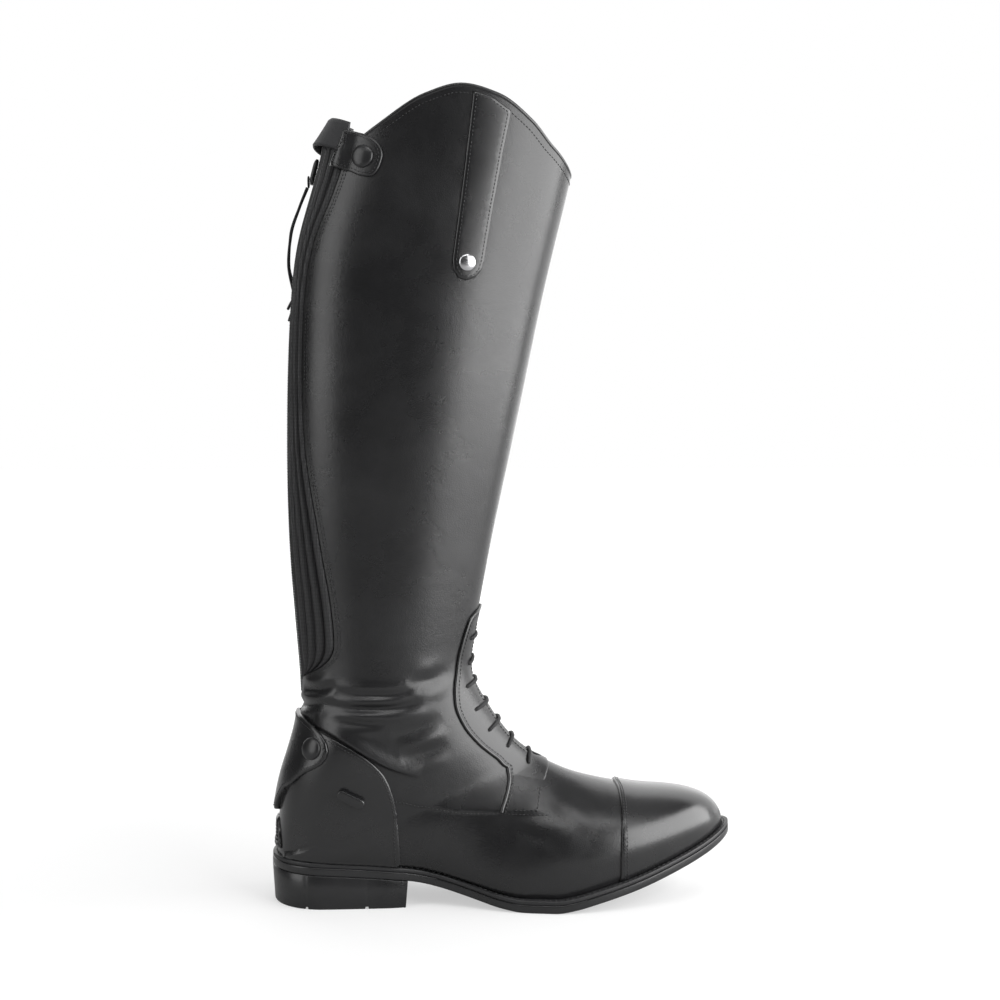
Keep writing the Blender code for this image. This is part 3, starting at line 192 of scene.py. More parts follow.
def lastSections():
    leg = np.array(lastForm["leg"], float).T
    foot = np.array(lastForm["foot"], float).T
    heelRow = leg.shape[1]
    rows = {
        "frontX": np.concatenate([leg[0], foot[0]]),
        "frontZ": np.concatenate([leg[1], foot[1]]),
        "backX": np.concatenate([leg[2], foot[2]]),
        "backZ": np.concatenate([leg[3], featherHeight(foot[2])]),
        "lateral": np.concatenate([leg[4], foot[3] - featherEdge(foot[2], lateral)]),
        "medial": np.concatenate([leg[5], foot[4] + featherEdge(foot[2], medial)]),
        "widest": np.concatenate([leg[6], foot[5]]),
        "frontPower": np.concatenate([leg[7], foot[6]]),
        "backPower": np.concatenate([leg[8], foot[7]]),
        "ridgeY": np.concatenate([0 * leg[0], foot[8]]),
    }
    steps = lastForm["rowSteps"]
    count = len(rows["frontX"])
    fine = np.linspace(0, count - 1, (count - 1) * steps + 1)
    cut = {}
    # the back line stays as drawn near the heel
    keep = np.clip((fine - (heelRow - lastForm["keepFrom"])) / lastForm["keepOver"], 0, 1)
    for name, values in rows.items():
        values = monotone(np.arange(count), values, fine)
        soft = smoothed(values, steps)
        cut[name] = soft * (1 - keep) + values * keep if name in ("backX", "backZ") else soft
    onFoot = fine >= heelRow
    cut["backZ"] = np.where(onFoot, featherHeight(cut["backX"]), cut["backZ"])
    for name, side in (("lateral", lateral), ("medial", medial)):
        base = np.where(onFoot, side * (featherEdge(cut["backX"], side) - cut["ridgeY"]), 0.0)
        base[heelRow * steps] = 0.0
        base[-1] = 0.0
        cut[name] = np.maximum(cut[name] - side * cut["ridgeY"], base)
        cut[name][-1] = 0.0
        cut[name + "Base"] = base
    return heelRow, fine, cut


def halfSection(cut, side):
    angle = np.linspace(0, math.pi / 2, lastForm["arcSteps"])[None, :]
    width, base = cut[side][:, None], cut[side + "Base"][:, None]
    span = np.hypot(cut["frontX"] - cut["backX"], cut["frontZ"] - cut["backZ"])[:, None]
    wideAt = span * cut["widest"][:, None]
    front, back = 2 / cut["frontPower"][:, None], 2 / cut["backPower"][:, None]
    along = np.concatenate([wideAt + (span - wideAt) * np.cos(angle) ** front,
                            (wideAt * (1 - np.sin(angle) ** back))[:, 1:]], 1)
    out = np.concatenate([width * np.sin(angle) ** front,
                          (base + (width - base) * np.cos(angle) ** back)[:, 1:]], 1)
    lengths = np.concatenate([0 * span, np.hypot(np.diff(along), np.diff(out)).cumsum(1)], 1)
    even = np.linspace(0, 1, lastForm["halfColumns"] + 1)
    along = np.array([np.interp(even * run[-1], run, row) for run, row in zip(lengths, along)])
    out = np.array([np.interp(even * run[-1], run, row) for run, row in zip(lengths, out)])
    return along / span, out, lengths[:, -1]


class BootLast:
    def __init__(self):
        self.heelRow, self.rows, cut = lastSections()
        self.cut = cut
        shareL, outL, self.girthL = halfSection(cut, "lateral")
        shareM, outM, self.girthM = halfSection(cut, "medial")
        self.share = np.concatenate([shareL[:, ::-1], shareM[:, 1:]], 1)
        y = np.concatenate([-outL[:, ::-1], outM[:, 1:]], 1) + cut["ridgeY"][:, None]
        x = cut["backX"][:, None] + self.share * (cut["frontX"] - cut["backX"])[:, None]
        z = cut["backZ"][:, None] + self.share * (cut["frontZ"] - cut["backZ"])[:, None]
        self.points = np.stack([x, y, z], 2)
        normal = np.cross(np.gradient(self.points, axis=0), np.gradient(self.points, axis=1))
        closed = self.rows < self.heelRow
        seam = normal[closed, 0] + normal[closed, -1]
        normal[closed, 0] = seam
        normal[closed, -1] = seam
        self.normals = normal / (np.linalg.norm(normal, axis=2, keepdims=True) + 1e-12)
        frontStep = np.hypot(np.diff(cut["frontX"]), np.diff(cut["frontZ"]))
        backStep = np.hypot(np.diff(cut["backX"]), np.diff(cut["backZ"]))
        self.run = np.concatenate([[0], np.cumsum((frontStep + backStep) / 2)])
        self.reach = np.concatenate([[0], np.cumsum(np.maximum(frontStep, backStep))])

    def along(self, values, s):
        return np.interp(s, self.rows, values)

    def lookUp(self, grid, s, u):
        columns = lastForm["halfColumns"]
        row = np.clip(np.asarray(s, float) * lastForm["rowSteps"], 0, len(grid) - 1.000001)
        col = np.clip((np.asarray(u, float) + 1) * columns, 0, 2 * columns - 0.000001)
        i, j = row.astype(int), col.astype(int)
        a, b = (row - i)[:, None], (col - j)[:, None]
        top = grid[i, j] * (1 - b) + grid[i, j + 1] * b
        low = grid[i + 1, j] * (1 - b) + grid[i + 1, j + 1] * b
        return top * (1 - a) + low * a

    def base(self, s, u):
        normal = self.lookUp(self.normals, s, u)
        normal /= np.linalg.norm(normal, axis=1, keepdims=True)
        return self.lookUp(self.points, s, u), normal

    def girth(self, s, u):
        return np.where(np.asarray(u) < 0, self.along(self.girthL, s), self.along(self.girthM, s))

    def fromSide(self, x, z, side):
        cut = self.cut
        cross = (x - cut["backX"]) * (cut["frontZ"] - cut["backZ"])
        cross = cross - (z - cut["backZ"]) * (cut["frontX"] - cut["backX"])
        i = np.nonzero((cross[:-1] >= 0) & (cross[1:] < 0))[0][0]
        t = cross[i] / (cross[i] - cross[i + 1])
        s = self.rows[i] + t * (self.rows[i + 1] - self.rows[i])
        frontX, frontZ, backX, backZ = (self.along(cut[k], s) for k in ("frontX", "frontZ", "backX", "backZ"))
        runX, runZ = frontX - backX, frontZ - backZ
        part = ((x - backX) * runX + (z - backZ) * runZ) / (runX**2 + runZ**2)
        columns = lastForm["halfColumns"]
        half = self.share[i, columns:] if side == medial else self.share[i, columns::-1]
        return s, side * np.interp(-part, -half, np.linspace(0, 1, columns + 1))

    def fromBack(self, z, girth):
        leg = self.rows <= self.heelRow
        s = np.interp(-z, -self.cut["backZ"][leg], self.rows[leg])
        side = lateral if girth < 0 else medial
        return s, side * (1 - abs(girth) / self.girth(s, side))

    def fromFront(self, z, girth):
        s = np.interp(-z, -self.cut["frontZ"], self.rows)
        return s, girth / self.girth(s, girth)

    def ridgeRow(self, x):
        foot = self.rows >= self.heelRow
        return np.interp(x, self.cut["frontX"][foot], self.rows[foot])

    def baseGap(self, s, u):
        return np.where(u < 0, self.along(self.cut["lateralBase"], s), self.along(self.cut["medialBase"], s))

    # flat chart of the leather, laid open from the front ridge or from the back seam
    def flat(self, s, u, fromBack=False):
        s, u = np.asarray(s, float), np.asarray(u, float)
        girth = self.girth(s, u)
        sign = np.where(u < 0, -1, 1)
        across = sign * (self.baseGap(s, u) + (1 - np.abs(u)) * girth) if fromBack else u * girth
        return np.stack([across, self.along(self.run, s)], 1)

    def unflat(self, flat, fromBack=False):
        s = np.interp(flat[:, 1], self.run, self.rows)
        sign = np.where(flat[:, 0] < 0, -1, 1)
        girth = self.girth(s, sign)
        if not fromBack:
            return s, np.clip(flat[:, 0] / girth, -1, 1)
        return s, sign * np.clip(1 - (np.abs(flat[:, 0]) - self.baseGap(s, sign)) / girth, 0, 1)


last = BootLast()
print("last ready,", last.points.shape[0], "sections")


# finishes: every one reads Object coordinates, or the piece's own UV map in metres
finishForm = {
    "leather": {
        "tone": 0.01, "rough": 0.28, "roughSpread": 0.12, "cell": 900, "pore": 2800, "grain": 0.1,
        "sway": 20.0, "coat": 0.15,
    },
    "polished": {
        "tone": 0.009, "rough": 0.26, "roughSpread": 0.1, "cell": 900, "pore": 3000, "grain": 0.06,
        "sway": 5.0, "coat": 0.35,
    },
    "lining": {"tone": 0.05, "rough": 0.75, "roughSpread": 0.1, "cell": 900, "pore": 2600, "grain": 0.12},
    "welt": {"tone": 0.016, "rough": 0.45, "roughSpread": 0.12, "cell": 500, "pore": 1800, "grain": 0.12},
    "sole": {
        "tone": 0.012, "rough": 0.3, "roughSpread": 0.12, "cell": 240, "pore": 1500, "grain": 0.05,
        "coat": 0.25,
    },
    "plastic": {"tone": 0.016, "rough": 0.4, "roughSpread": 0.1, "cell": 700, "pore": 2400, "grain": 0.04},
    "enamel": {
        "tone": 0.012, "rough": 0.3, "roughSpread": 0.1, "cell": 300, "pore": 1600, "grain": 0.03,
        "coat": 0.1,
    },
}
coolTint = (1.0, 1.0, 1.06)
threadForm = {
    "elastic": {"tone": 0.016, "rough": 0.5, "acrossPitch": 0.0009, "alongPitch": 0.0022, "grain": 0.35},
    "band": {"tone": 0.03, "rough": 0.7, "acrossPitch": 0.0007, "alongPitch": 0.0007, "grain": 0.25},
    "tape": {"tone": 0.01, "rough": 0.8, "acrossPitch": 0.0008, "alongPitch": 0.0008, "grain": 0.5},
    "lace": {"tone": 0.012, "rough": 0.7, "acrossPitch": 0.0006, "alongPitch": 0.0011, "grain": 0.6},
    "stitch": {"tone": 0.014, "rough": 0.5, "acrossPitch": 0.0004, "alongPitch": 0.0004, "grain": 0.3},
}
metalForm = {"slider": {"tone": 0.06, "rough": 0.28}, "stud": {"tone": 0.62, "rough": 0.2}}


def startMaterial(name):
    made = bpy.data.materials.new(name)
    made.use_nodes = True
    return made, made.node_tree.nodes, made.node_tree.links, made.node_tree.nodes["Principled BSDF"]


def addNode(nodes, kind, **values):
    node = nodes.new(kind)
    for key, value in values.items():
        if hasattr(node, key):
            setattr(node, key, value)
        else:
            node.inputs[key.replace("_", " ")].default_value = value
    return node


def grainFinish(name, tone, rough, roughSpread, cell, pore, grain, sway=0.0, coat=0.0):
    made, nodes, links, shader = startMaterial(name)
    place = nodes.new("ShaderNodeTexCoord").outputs["Object"]
    cloud = addNode(nodes, "ShaderNodeTexNoise", Scale=22.0, Detail=5.0, Roughness=0.6)
    cells = addNode(nodes, "ShaderNodeTexVoronoi", feature="DISTANCE_TO_EDGE", Scale=cell)
    pores = addNode(nodes, "ShaderNodeTexNoise", Scale=pore, Detail=3.0)
    bent = addNode(nodes, "ShaderNodeTexNoise", Scale=cell * 0.6, Detail=2.0)
    for texture in (cloud, pores, bent):
        links.new(place, texture.inputs["Vector"])
    wobble = addNode(nodes, "ShaderNodeVectorMath", operation="MULTIPLY_ADD")
    wobble.inputs[1].default_value = (0.8 / cell,) * 3
    links.new(bent.outputs["Color"], wobble.inputs[0])
    links.new(place, wobble.inputs[2])
    links.new(wobble.outputs[0], cells.inputs["Vector"])
    tones = nodes.new("ShaderNodeValToRGB")
    low, high = tones.color_ramp.elements
    low.position, high.position = 0.3, 0.75
    low.color = (*(tone * 0.75 * t for t in coolTint), 1)
    high.color = (*(tone * 1.3 * t for t in coolTint), 1)
    links.new(cloud.outputs["Fac"], tones.inputs["Fac"])
    links.new(tones.outputs["Color"], shader.inputs["Base Color"])
    gloss = addNode(nodes, "ShaderNodeMapRange", From_Min=0.3, From_Max=0.7, To_Min=rough - roughSpread / 2,
                    To_Max=rough + roughSpread / 2)
    links.new(cloud.outputs["Fac"], gloss.inputs["Value"])
    links.new(gloss.outputs["Result"], shader.inputs["Roughness"])
    rise = addNode(nodes, "ShaderNodeMapRange", interpolation_type="SMOOTHSTEP", From_Max=0.28)
    links.new(cells.outputs["Distance"], rise.inputs["Value"])
    mixed = addNode(nodes, "ShaderNodeMath", operation="MULTIPLY_ADD")
    mixed.inputs[1].default_value = 0.5
    links.new(pores.outputs["Fac"], mixed.inputs[0])
    links.new(rise.outputs["Result"], mixed.inputs[2])
    uneven = addNode(nodes, "ShaderNodeMath", operation="MULTIPLY_ADD")
    uneven.inputs[1].default_value = sway
    links.new(cloud.outputs["Fac"], uneven.inputs[0])
    links.new(mixed.outputs[0], uneven.inputs[2])
    bump = addNode(nodes, "ShaderNodeBump", Strength=grain, Distance=0.0005)
    links.new(uneven.outputs[0], bump.inputs["Height"])
    links.new(bump.outputs["Normal"], shader.inputs["Normal"])
    shader.inputs["Coat Weight"].default_value = coat
    shader.inputs["Coat Roughness"].default_value = 0.22
    return made


def threadFinish(name, tone, rough, acrossPitch, alongPitch, grain, coords="UV"):
    made, nodes, links, shader = startMaterial(name)
    place = nodes.new("ShaderNodeTexCoord").outputs[coords]
    waves = []
    for direction, pitch in (("X", acrossPitch), ("Y", alongPitch)):
        wave = addNode(nodes, "ShaderNodeTexWave", bands_direction=direction, Distortion=0.4,
                       Scale=math.pi / (10 * pitch))
        links.new(place, wave.inputs["Vector"])
        waves.append(wave.outputs["Fac"])
    weave = addNode(nodes, "ShaderNodeMath", operation="MULTIPLY")
    for k, wave in enumerate(waves):
        links.new(wave, weave.inputs[k])
    fuzz = addNode(nodes, "ShaderNodeTexNoise", Scale=900.0, Detail=4.0)
    links.new(place, fuzz.inputs["Vector"])
    total = addNode(nodes, "ShaderNodeMath", operation="MULTIPLY_ADD")
    total.inputs[1].default_value = 0.35
    links.new(fuzz.outputs["Fac"], total.inputs[0])
    links.new(weave.outputs[0], total.inputs[2])
    tones = nodes.new("ShaderNodeValToRGB")
    low, high = tones.color_ramp.elements
    low.color = (tone * 0.55, tone * 0.55, tone * 0.6, 1)
    high.color = (tone * 1.5, tone * 1.5, tone * 1.6, 1)
    links.new(total.outputs[0], tones.inputs["Fac"])
    links.new(tones.outputs["Color"], shader.inputs["Base Color"])
    bump = addNode(nodes, "ShaderNodeBump", Strength=grain, Distance=0.0004)
    links.new(total.outputs[0], bump.inputs["Height"])
    links.new(bump.outputs["Normal"], shader.inputs["Normal"])
    shader.inputs["Roughness"].default_value = rough
    return made


def metalFinish(name, tone, rough):
    made, nodes, links, shader = startMaterial(name)
    place = nodes.new("ShaderNodeTexCoord").outputs["Object"]
    scuff = addNode(nodes, "ShaderNodeTexNoise", Scale=420.0, Detail=6.0)
    links.new(place, scuff.inputs["Vector"])
    gloss = addNode(nodes, "ShaderNodeMapRange", To_Min=rough * 0.6, To_Max=rough * 1.5)
    links.new(scuff.outputs["Fac"], gloss.inputs["Value"])
    links.new(gloss.outputs["Result"], shader.inputs["Roughness"])
    tones = nodes.new("ShaderNodeValToRGB")
    low, high = tones.color_ramp.elements
    low.color = (tone * 0.8, tone * 0.8, tone * 0.82, 1)
    high.color = (tone, tone, tone * 1.02, 1)
    links.new(scuff.outputs["Fac"], tones.inputs["Fac"])
    links.new(tones.outputs["Color"], shader.inputs["Base Color"])
    shader.inputs["Metallic"].default_value = 1.0
    return made


leather = grainFinish("bootLeather", **finishForm["leather"])
polished = grainFinish("polishedLeather", **finishForm["polished"])
lining = grainFinish("liningLeather", **finishForm["lining"])
weltLeather = grainFinish("weltLeather", **finishForm["welt"])
soleRubber = grainFinish("soleEdgeRubber", **finishForm["sole"])
zipPlastic = grainFinish("zipPlastic", **finishForm["plastic"])
snapEnamel = grainFinish("snapEnamel", **finishForm["enamel"])
elastic = threadFinish("ribbedElastic", **threadForm["elastic"])
bandCloth = threadFinish("bandCloth", **threadForm["band"])
tapeCloth = threadFinish("zipTapeCloth", **threadForm["tape"])
laceCord = threadFinish("laceCord", **threadForm["lace"])
darkThread = threadFinish("darkThread", **threadForm["stitch"], coords="Object")
sliderMetal = metalFinish("sliderMetal", **metalForm["slider"])
studMetal = metalFinish("studMetal", **metalForm["stud"])
print("finishes ready")


# folds pressed in: depth, half width, points as x, z on a side or girth, z on the back
foldForm = {
    "ridgeShare": 0.55,
    "ridgeAt": 2.1,
    "ridgeWide": 1.1,
    "reach": 4.5,
    "fade": 0.9,
    "lipReach": 20.0,
    "lipFade": 0.5,
    "routePoints": 30,
    "lipPoints": 26,
    "ankleX": 108.0,
    "ankleZ": (74.0, 143.0),
    "sides": (
        (2.0, 2.6, ((34, 125.4), (52, 124.8), (70, 125.0), (84, 126.4), (94, 128.8))),
        (1.4, 2.4, ((40, 133.6), (56, 132.6), (72, 132.6), (88, 134.6))),
        (1.0, 2.4, ((38, 119.0), (50, 116.8), (62, 115.8), (72, 116.4))),
        (0.9, 4.2, ((74, 108.0), (90, 111), (106, 118))),
        (1.0, 4.0, ((84, 140), (98, 141), (110, 147))),
        (0.9, 4.0, ((80, 94.5), (94, 97), (110, 101))),
        (0.25, 4.0, ((172, 66), (184, 56), (193, 44))),
        (0.2, 4.0, ((184, 69), (195, 60), (203, 49))),
        (0.4, 4.0, ((150, 48), (166, 44), (182, 36))),
    ),
    "back": (
        (1.6, 2.4, ((-42, 136), (-28, 133), (-12, 132.5))),
        (1.6, 2.4, ((12, 132.5), (28, 133), (42, 136))),
        (1.3, 2.5, ((-34, 126.5), (-20, 123.5), (0, 122.6), (20, 123.5), (34, 126.5))),
    ),
    # a lip of leather along a line: height, reach above, reach below, x, z
    "lips": (
        (2.7, 6.5, 1.2, ((27, 114.5), (43.5, 107.2), (62, 95.8), (72, 90.0), (82, 86.0), (92, 83.0))),
        (0.75, 8.0, 0.7, ((74, 70.5), (91.3, 64.6), (115.6, 60.1), (139.8, 58.8), (158, 58.0), (170, 57.6))),
    ),
}


def smoothRoute(points, count):
    points = np.array(points, float)
    run = np.concatenate([[0], np.cumsum(np.linalg.norm(np.diff(points, axis=0), axis=1))])
    at = np.linspace(0, run[-1], count)
    return np.stack([monotone(run, column, at) for column in points.T], 1)


def sidePoints(table, side):
    return [last.fromSide(x, z, side) for x, z in table]


def mirrored(points):
    return [(s, -u) for s, u in points[::-1]]


def routeOf(places, count):
    places = np.array(places, float)
    return smoothRoute(last.base(places[:, 0], places[:, 1])[0], count)


def nearRoute(points, route):
    best = np.full(len(points), 1e9)
    share = np.zeros(len(points))
    side = np.zeros(len(points))
    for i, (a, b) in enumerate(zip(route, route[1:])):
        run = b - a
        t = np.clip(((points - a) @ run) / (run @ run), 0, 1)
        off = points - a - t[:, None] * run
        gap = np.linalg.norm(off, axis=1)
        closer = gap < best
        best[closer] = gap[closer]
        share[closer] = (i + t[closer]) / (len(route) - 1)
        side[closer] = off[closer, 2]
    return best, share, side


def foldRoutes():
    count = foldForm["routePoints"]
    routes = []
    for side in (lateral, medial):
        routes += [(d, w, routeOf(sidePoints(table, side), count)) for d, w, table in foldForm["sides"]]
    for depth, width, table in foldForm["back"]:
        routes.append((depth, width, routeOf([last.fromBack(z, girth) for girth, z in table], count)))
    lips = [(high, above, below, routeOf(sidePoints(line, side), foldForm["lipPoints"]))
            for high, above, below, line in foldForm["lips"] for side in (lateral, medial)]
    return routes, lips


foldLines, lipLines = foldRoutes()


def closeTo(points, route, reach):
    return np.all((points > route.min(0) - reach) & (points < route.max(0) + reach), axis=1)


def foldHeight(points):
    height = np.zeros(len(points))
    for depth, width, route in foldLines:
        near = closeTo(points, route, foldForm["reach"] * width)
        if near.any():
            gap, share, _ = nearRoute(points[near], route)
            ends = np.sin(np.pi * share) ** foldForm["fade"]
            trough = np.exp(-((gap / width) ** 2))
            ridge = np.exp(-(((gap - foldForm["ridgeAt"] * width) / (foldForm["ridgeWide"] * width)) ** 2))
            height[near] += depth * ends * (foldForm["ridgeShare"] * ridge - trough)
    for high, above, below, route in lipLines:
        near = closeTo(points, route, foldForm["lipReach"])
        if near.any():
            gap, share, side = nearRoute(points[near], route)
            reach = np.where(side > 0, above, below)
            ends = np.sin(np.pi * share) ** foldForm["lipFade"]
            height[near] += high * ends * np.exp(-((gap / reach) ** 2))
    return height


def skin(s, u, lift, soft=1.0):
    base, normal = last.base(np.asarray(s, float), np.asarray(u, float))
    height = soft * foldHeight(base) + lift if soft else np.broadcast_to(lift, len(base))
    return base + normal * height[:, None]


def skinAt(places, lift, soft=1.0):
    places = np.array(places, float)
    return skin(places[:, 0], places[:, 1], lift, soft)


# from the part's millimetres to the frame
def placed(points):
    return (np.asarray(points, float) + partShift) * millimetre


# meshes: sheets cut from the last, lofts, tubes and domes, all closed
def addPiece(name, points, faces, finish, nodes=(), uv=None, second=None, kinds=None, sharp=40):
    mesh = bpy.data.meshes.new(name)
    mesh.from_pydata(placed(points).tolist(), [], [tuple(int(i) for i in face) for face in faces])
    mesh.materials.append(finish)
    if second is not None:
        mesh.materials.append(second)
        mesh.polygons.foreach_set("material_index", np.asarray(kinds, np.int32))
    if uv is not None:
        layer = mesh.uv_layers.new(name="UVMap")
        index = np.empty(len(mesh.loops), np.int32)
        mesh.loops.foreach_get("vertex_index", index)
        layer.data.foreach_set("uv", (np.asarray(uv, float)[index] * millimetre).ravel())
    mesh.validate()
    mesh.shade_smooth()
    mesh.set_sharp_from_angle(angle=math.radians(sharp))
    thing = bpy.data.objects.new(name, mesh)
    bpy.context.scene.collection.objects.link(thing)
    return settle(thing, nodes)


def settle(thing, nodes=()):
    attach(thing, "root")
    if nodes:
        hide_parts(*nodes)
    return thing


def rimFaces(faces, count):
    edges = set()
    for face in faces:
        edges.update(zip(face, face[1:] + face[:1]))
    return [(b, a, a + count, b + count) for a, b in edges if (b, a) not in edges]


def sheetPiece(name, s, u, faces, inner, outer, finish, nodes, fromBack, soft, second=None):
    top, low = skin(s, u, outer, soft), skin(s, u, inner, soft)
    uv = last.flat(s, u, fromBack)
    # points that meet, as at the toe's tip, become one
    _, order, index = np.unique(np.round(top, 3), axis=0, return_index=True, return_inverse=True)
    index = np.ravel(index)
    top, low, uv = top[order], low[order], uv[order]
    faces = [tuple(index[i] for i in face) for face in faces]
    faces = [face for face in faces if len(set(face)) == len(face)]
    corners = np.array([face[:3] for face in faces])
    turn = np.cross(top[corners[:, 1]] - top[corners[:, 0]], top[corners[:, 2]] - top[corners[:, 0]])
    if np.sum(turn * (top - low)[corners[:, 0]]) < 0:
        faces = [face[::-1] for face in faces]
    count = len(top)
    back = [tuple(i + count for i in face[::-1]) for face in faces]
    rim = rimFaces(faces, count)
    kinds = [0] * len(faces) + [1] * len(back) + [0] * len(rim)
    points = np.concatenate([top, low])
    return addPiece(name, points, faces + back + rim, finish, nodes, np.concatenate([uv, uv]),
                    second, kinds if second else None)


def inside(points, loops):
    crossed = np.zeros(len(points), bool)
    for loop in loops:
        for (ax, ay), (bx, by) in zip(loop, np.roll(loop, -1, 0)):
            if ay != by:
                spans = (ay > points[:, 1]) != (by > points[:, 1])
                crossed ^= spans & (points[:, 0] < (bx - ax) * (points[:, 1] - ay) / (by - ay) + ax)
    return crossed


def edgeGap(points, loops):
    best = np.full(len(points), 1e9)
    for loop in loops:
        for a, b in zip(loop, np.roll(loop, -1, 0)):
            run = b - a
            t = np.clip(((points - a) @ run) / (run @ run + 1e-12), 0, 1)
            off = points - a - t[:, None] * run
            best = np.minimum(best, off[:, 0] ** 2 + off[:, 1] ** 2)
    return np.sqrt(best)


# cut leather: spacing of its points, and how its edge rolls over
panelForm = {
    "edgeStep": 2.4,
    "rowStep": 2.3,
    "latticeRow": 0.87,
    "plainRoom": 0.55,
    "rollRoom": 0.5,
    "roll": 1.3,
    "rollRows": (0.12, 0.4, 1.0),
    "rollKeep": 0.93,
    "edgeShare": 0.3,
    "sink": 0.8,
}


def lattice(step):
    runs = np.arange(0, last.reach[-1], step * panelForm["latticeRow"])
    stops = np.interp(runs, last.reach, last.rows)
    s, u = [], []
    for k, stop in enumerate(stops):
        for side in (lateral, medial):
            count = max(3, round(float(last.girth(stop, side)) / step))
            share = (np.arange(count) + (0.5 if k % 2 else 0.0)) / count
            s.append(np.full(count, stop))
            u.append(side * share)
    return np.concatenate(s), np.concatenate(u)


def denseLoop(loop, step, fromBack):
    loop = np.array(loop, float)
    flat = last.flat(loop[:, 0], loop[:, 1], fromBack)
    ahead = np.roll(flat, -1, 0)
    out = []
    for i in range(len(flat)):
        count = max(1, int(math.ceil(np.linalg.norm(ahead[i] - flat[i]) / step)))
        if count == 1:
            out.append(loop[i])
        else:
            between = flat[i] + (ahead[i] - flat[i]) * (np.arange(count) / count)[:, None]
            s, u = last.unflat(between, fromBack)
            out += [loop[i]] + list(np.stack([s, u], 1)[1:])
    return np.array(out)


def offsetLine(flat, gap, closed):
    if closed:
        run = np.roll(flat, -1, 0) - np.roll(flat, 1, 0)
    else:
        run = np.gradient(flat, axis=0)
    normal = np.stack([-run[:, 1], run[:, 0]], 1)
    return flat + gap * normal / (np.linalg.norm(normal, axis=1, keepdims=True) + 1e-12)


# the zone where folds need a finer mesh
def folded(s, u):
    x, _, z = last.base(s, u)[0].T
    return (x < foldForm["ankleX"]) & (z > foldForm["ankleZ"][0]) & (z < foldForm["ankleZ"][1])


def leatherPanel(name, loops, low, thick, finish, slotName, nodes, step, fromBack=False,
                 roll=panelForm["roll"], soft=1.0, extra=(), inner=None, second=None, shape=None, fine=0):
    loops = [denseLoop(loop, panelForm["edgeStep"], fromBack) for loop in loops]
    flats = [last.flat(loop[:, 0], loop[:, 1], fromBack) for loop in loops]
    rings = [np.zeros((0, 2))]
    for share in (panelForm["rollRows"] if thick else ()):
        for flat in flats:
            for sign in (-1, 1):
                ring = offsetLine(flat, sign * share * roll, True)
                ring = ring[inside(ring, flats)]
                rings.append(ring[edgeGap(ring, flats) > panelForm["rollKeep"] * share * roll])
    ringFlat = np.concatenate(rings)
    s, u = lattice(step)
    if fine:
        fineS, fineU = lattice(fine)
        keepS, keepF = ~folded(s, u), folded(fineS, fineU)
        s, u = np.concatenate([s[keepS], fineS[keepF]]), np.concatenate([u[keepS], fineU[keepF]])
    flat = last.flat(s, u, fromBack)
    keep = inside(flat, flats)
    room = roll + panelForm["rollRoom"] * step if thick else panelForm["plainRoom"] * step
    keep[keep] &= edgeGap(flat[keep], flats) > room
    extra = np.array(extra, float).reshape(-1, 2)
    ringS, ringU = last.unflat(ringFlat, fromBack)
    allS = np.concatenate([loop[:, 0] for loop in loops] + [ringS, extra[:, 0], s[keep]])
    allU = np.concatenate([loop[:, 1] for loop in loops] + [ringU, extra[:, 1], u[keep]])
    points = np.concatenate(flats + [ringFlat, last.flat(extra[:, 0], extra[:, 1], fromBack), flat[keep]])
    edges, start = [], 0
    for loop in loops:
        edges += [(start + i, start + (i + 1) % len(loop)) for i in range(len(loop))]
        start += len(loop)
    cut = delaunay_2d_cdt([Vector(p) for p in points], edges, [], 0, 1e-6)
    source = [origin[0] for origin in cut[3]]
    faces = [tuple(source[i] for i in face) for face in cut[2]]
    centres = points[np.array(faces)].mean(1)
    faces = [face for face, ok in zip(faces, inside(centres, flats)) if ok]
    lift = np.full(len(points), float(low))
    if thick:
        share = np.clip(edgeGap(points, flats) / roll, 0, 1)
        edge = panelForm["edgeShare"]
        lift += thick * (edge + (1 - edge) * np.sqrt(1 - (1 - share) ** 2))
    if shape:
        lift = shape(allS, allU, lift)
    base = low - panelForm["sink"] if inner is None else inner
    return sheetPiece(name, allS, allU, faces, base, lift, finish, nodes, fromBack, soft, second)


def gridPiece(name, grid, inner, outer, finish, nodes, fromBack=True, soft=0.0):
    rows, cols = grid.shape[:2]
    index = np.arange(rows * cols).reshape(rows, cols)
    quads = np.stack([index[:-1, :-1], index[1:, :-1], index[1:, 1:], index[:-1, 1:]], 2).reshape(-1, 4)
    inner, outer = (np.broadcast_to(level, (rows, cols)).ravel() for level in (inner, outer))
    faces = [tuple(int(i) for i in quad) for quad in quads]
    s, u = grid.reshape(-1, 2).T
    return sheetPiece(name, s, u, faces, inner, outer, finish, nodes, fromBack, soft)


def outward(points, faces):
    corners = np.array([face[:3] for face in faces])
    a, b, c = (points[corners[:, k]] - points.mean(0) for k in range(3))
    volume = np.sum(np.einsum("ij,ij->i", a, np.cross(b, c)))
    return [face[::-1] for face in faces] if volume < 0 else faces


def ringFaces(count, size, closed):
    index = np.arange(count * size).reshape(count, size)
    faces = []
    for i in range(count if closed else count - 1):
        a, b = index[i], index[(i + 1) % count]
        faces += [(a[j], a[(j + 1) % size], b[(j + 1) % size], b[j]) for j in range(size)]
    return faces, index


def ringMesh(rings, closed=False):
    rings = np.array(rings, float)
    faces, index = ringFaces(*rings.shape[:2], closed)
    points = rings.reshape(-1, 3)
    if not closed:
        caps = []
        for ring, turn in ((0, -1), (-1, 1)):
            caps.append(rings[ring].mean(0))
            tip = len(points) + len(caps) - 1
            around = index[ring][::turn]
            faces += [(tip, around[j], around[(j + 1) % len(around)]) for j in range(len(around))]
        points = np.concatenate([points, caps])
    return points, outward(points, faces)


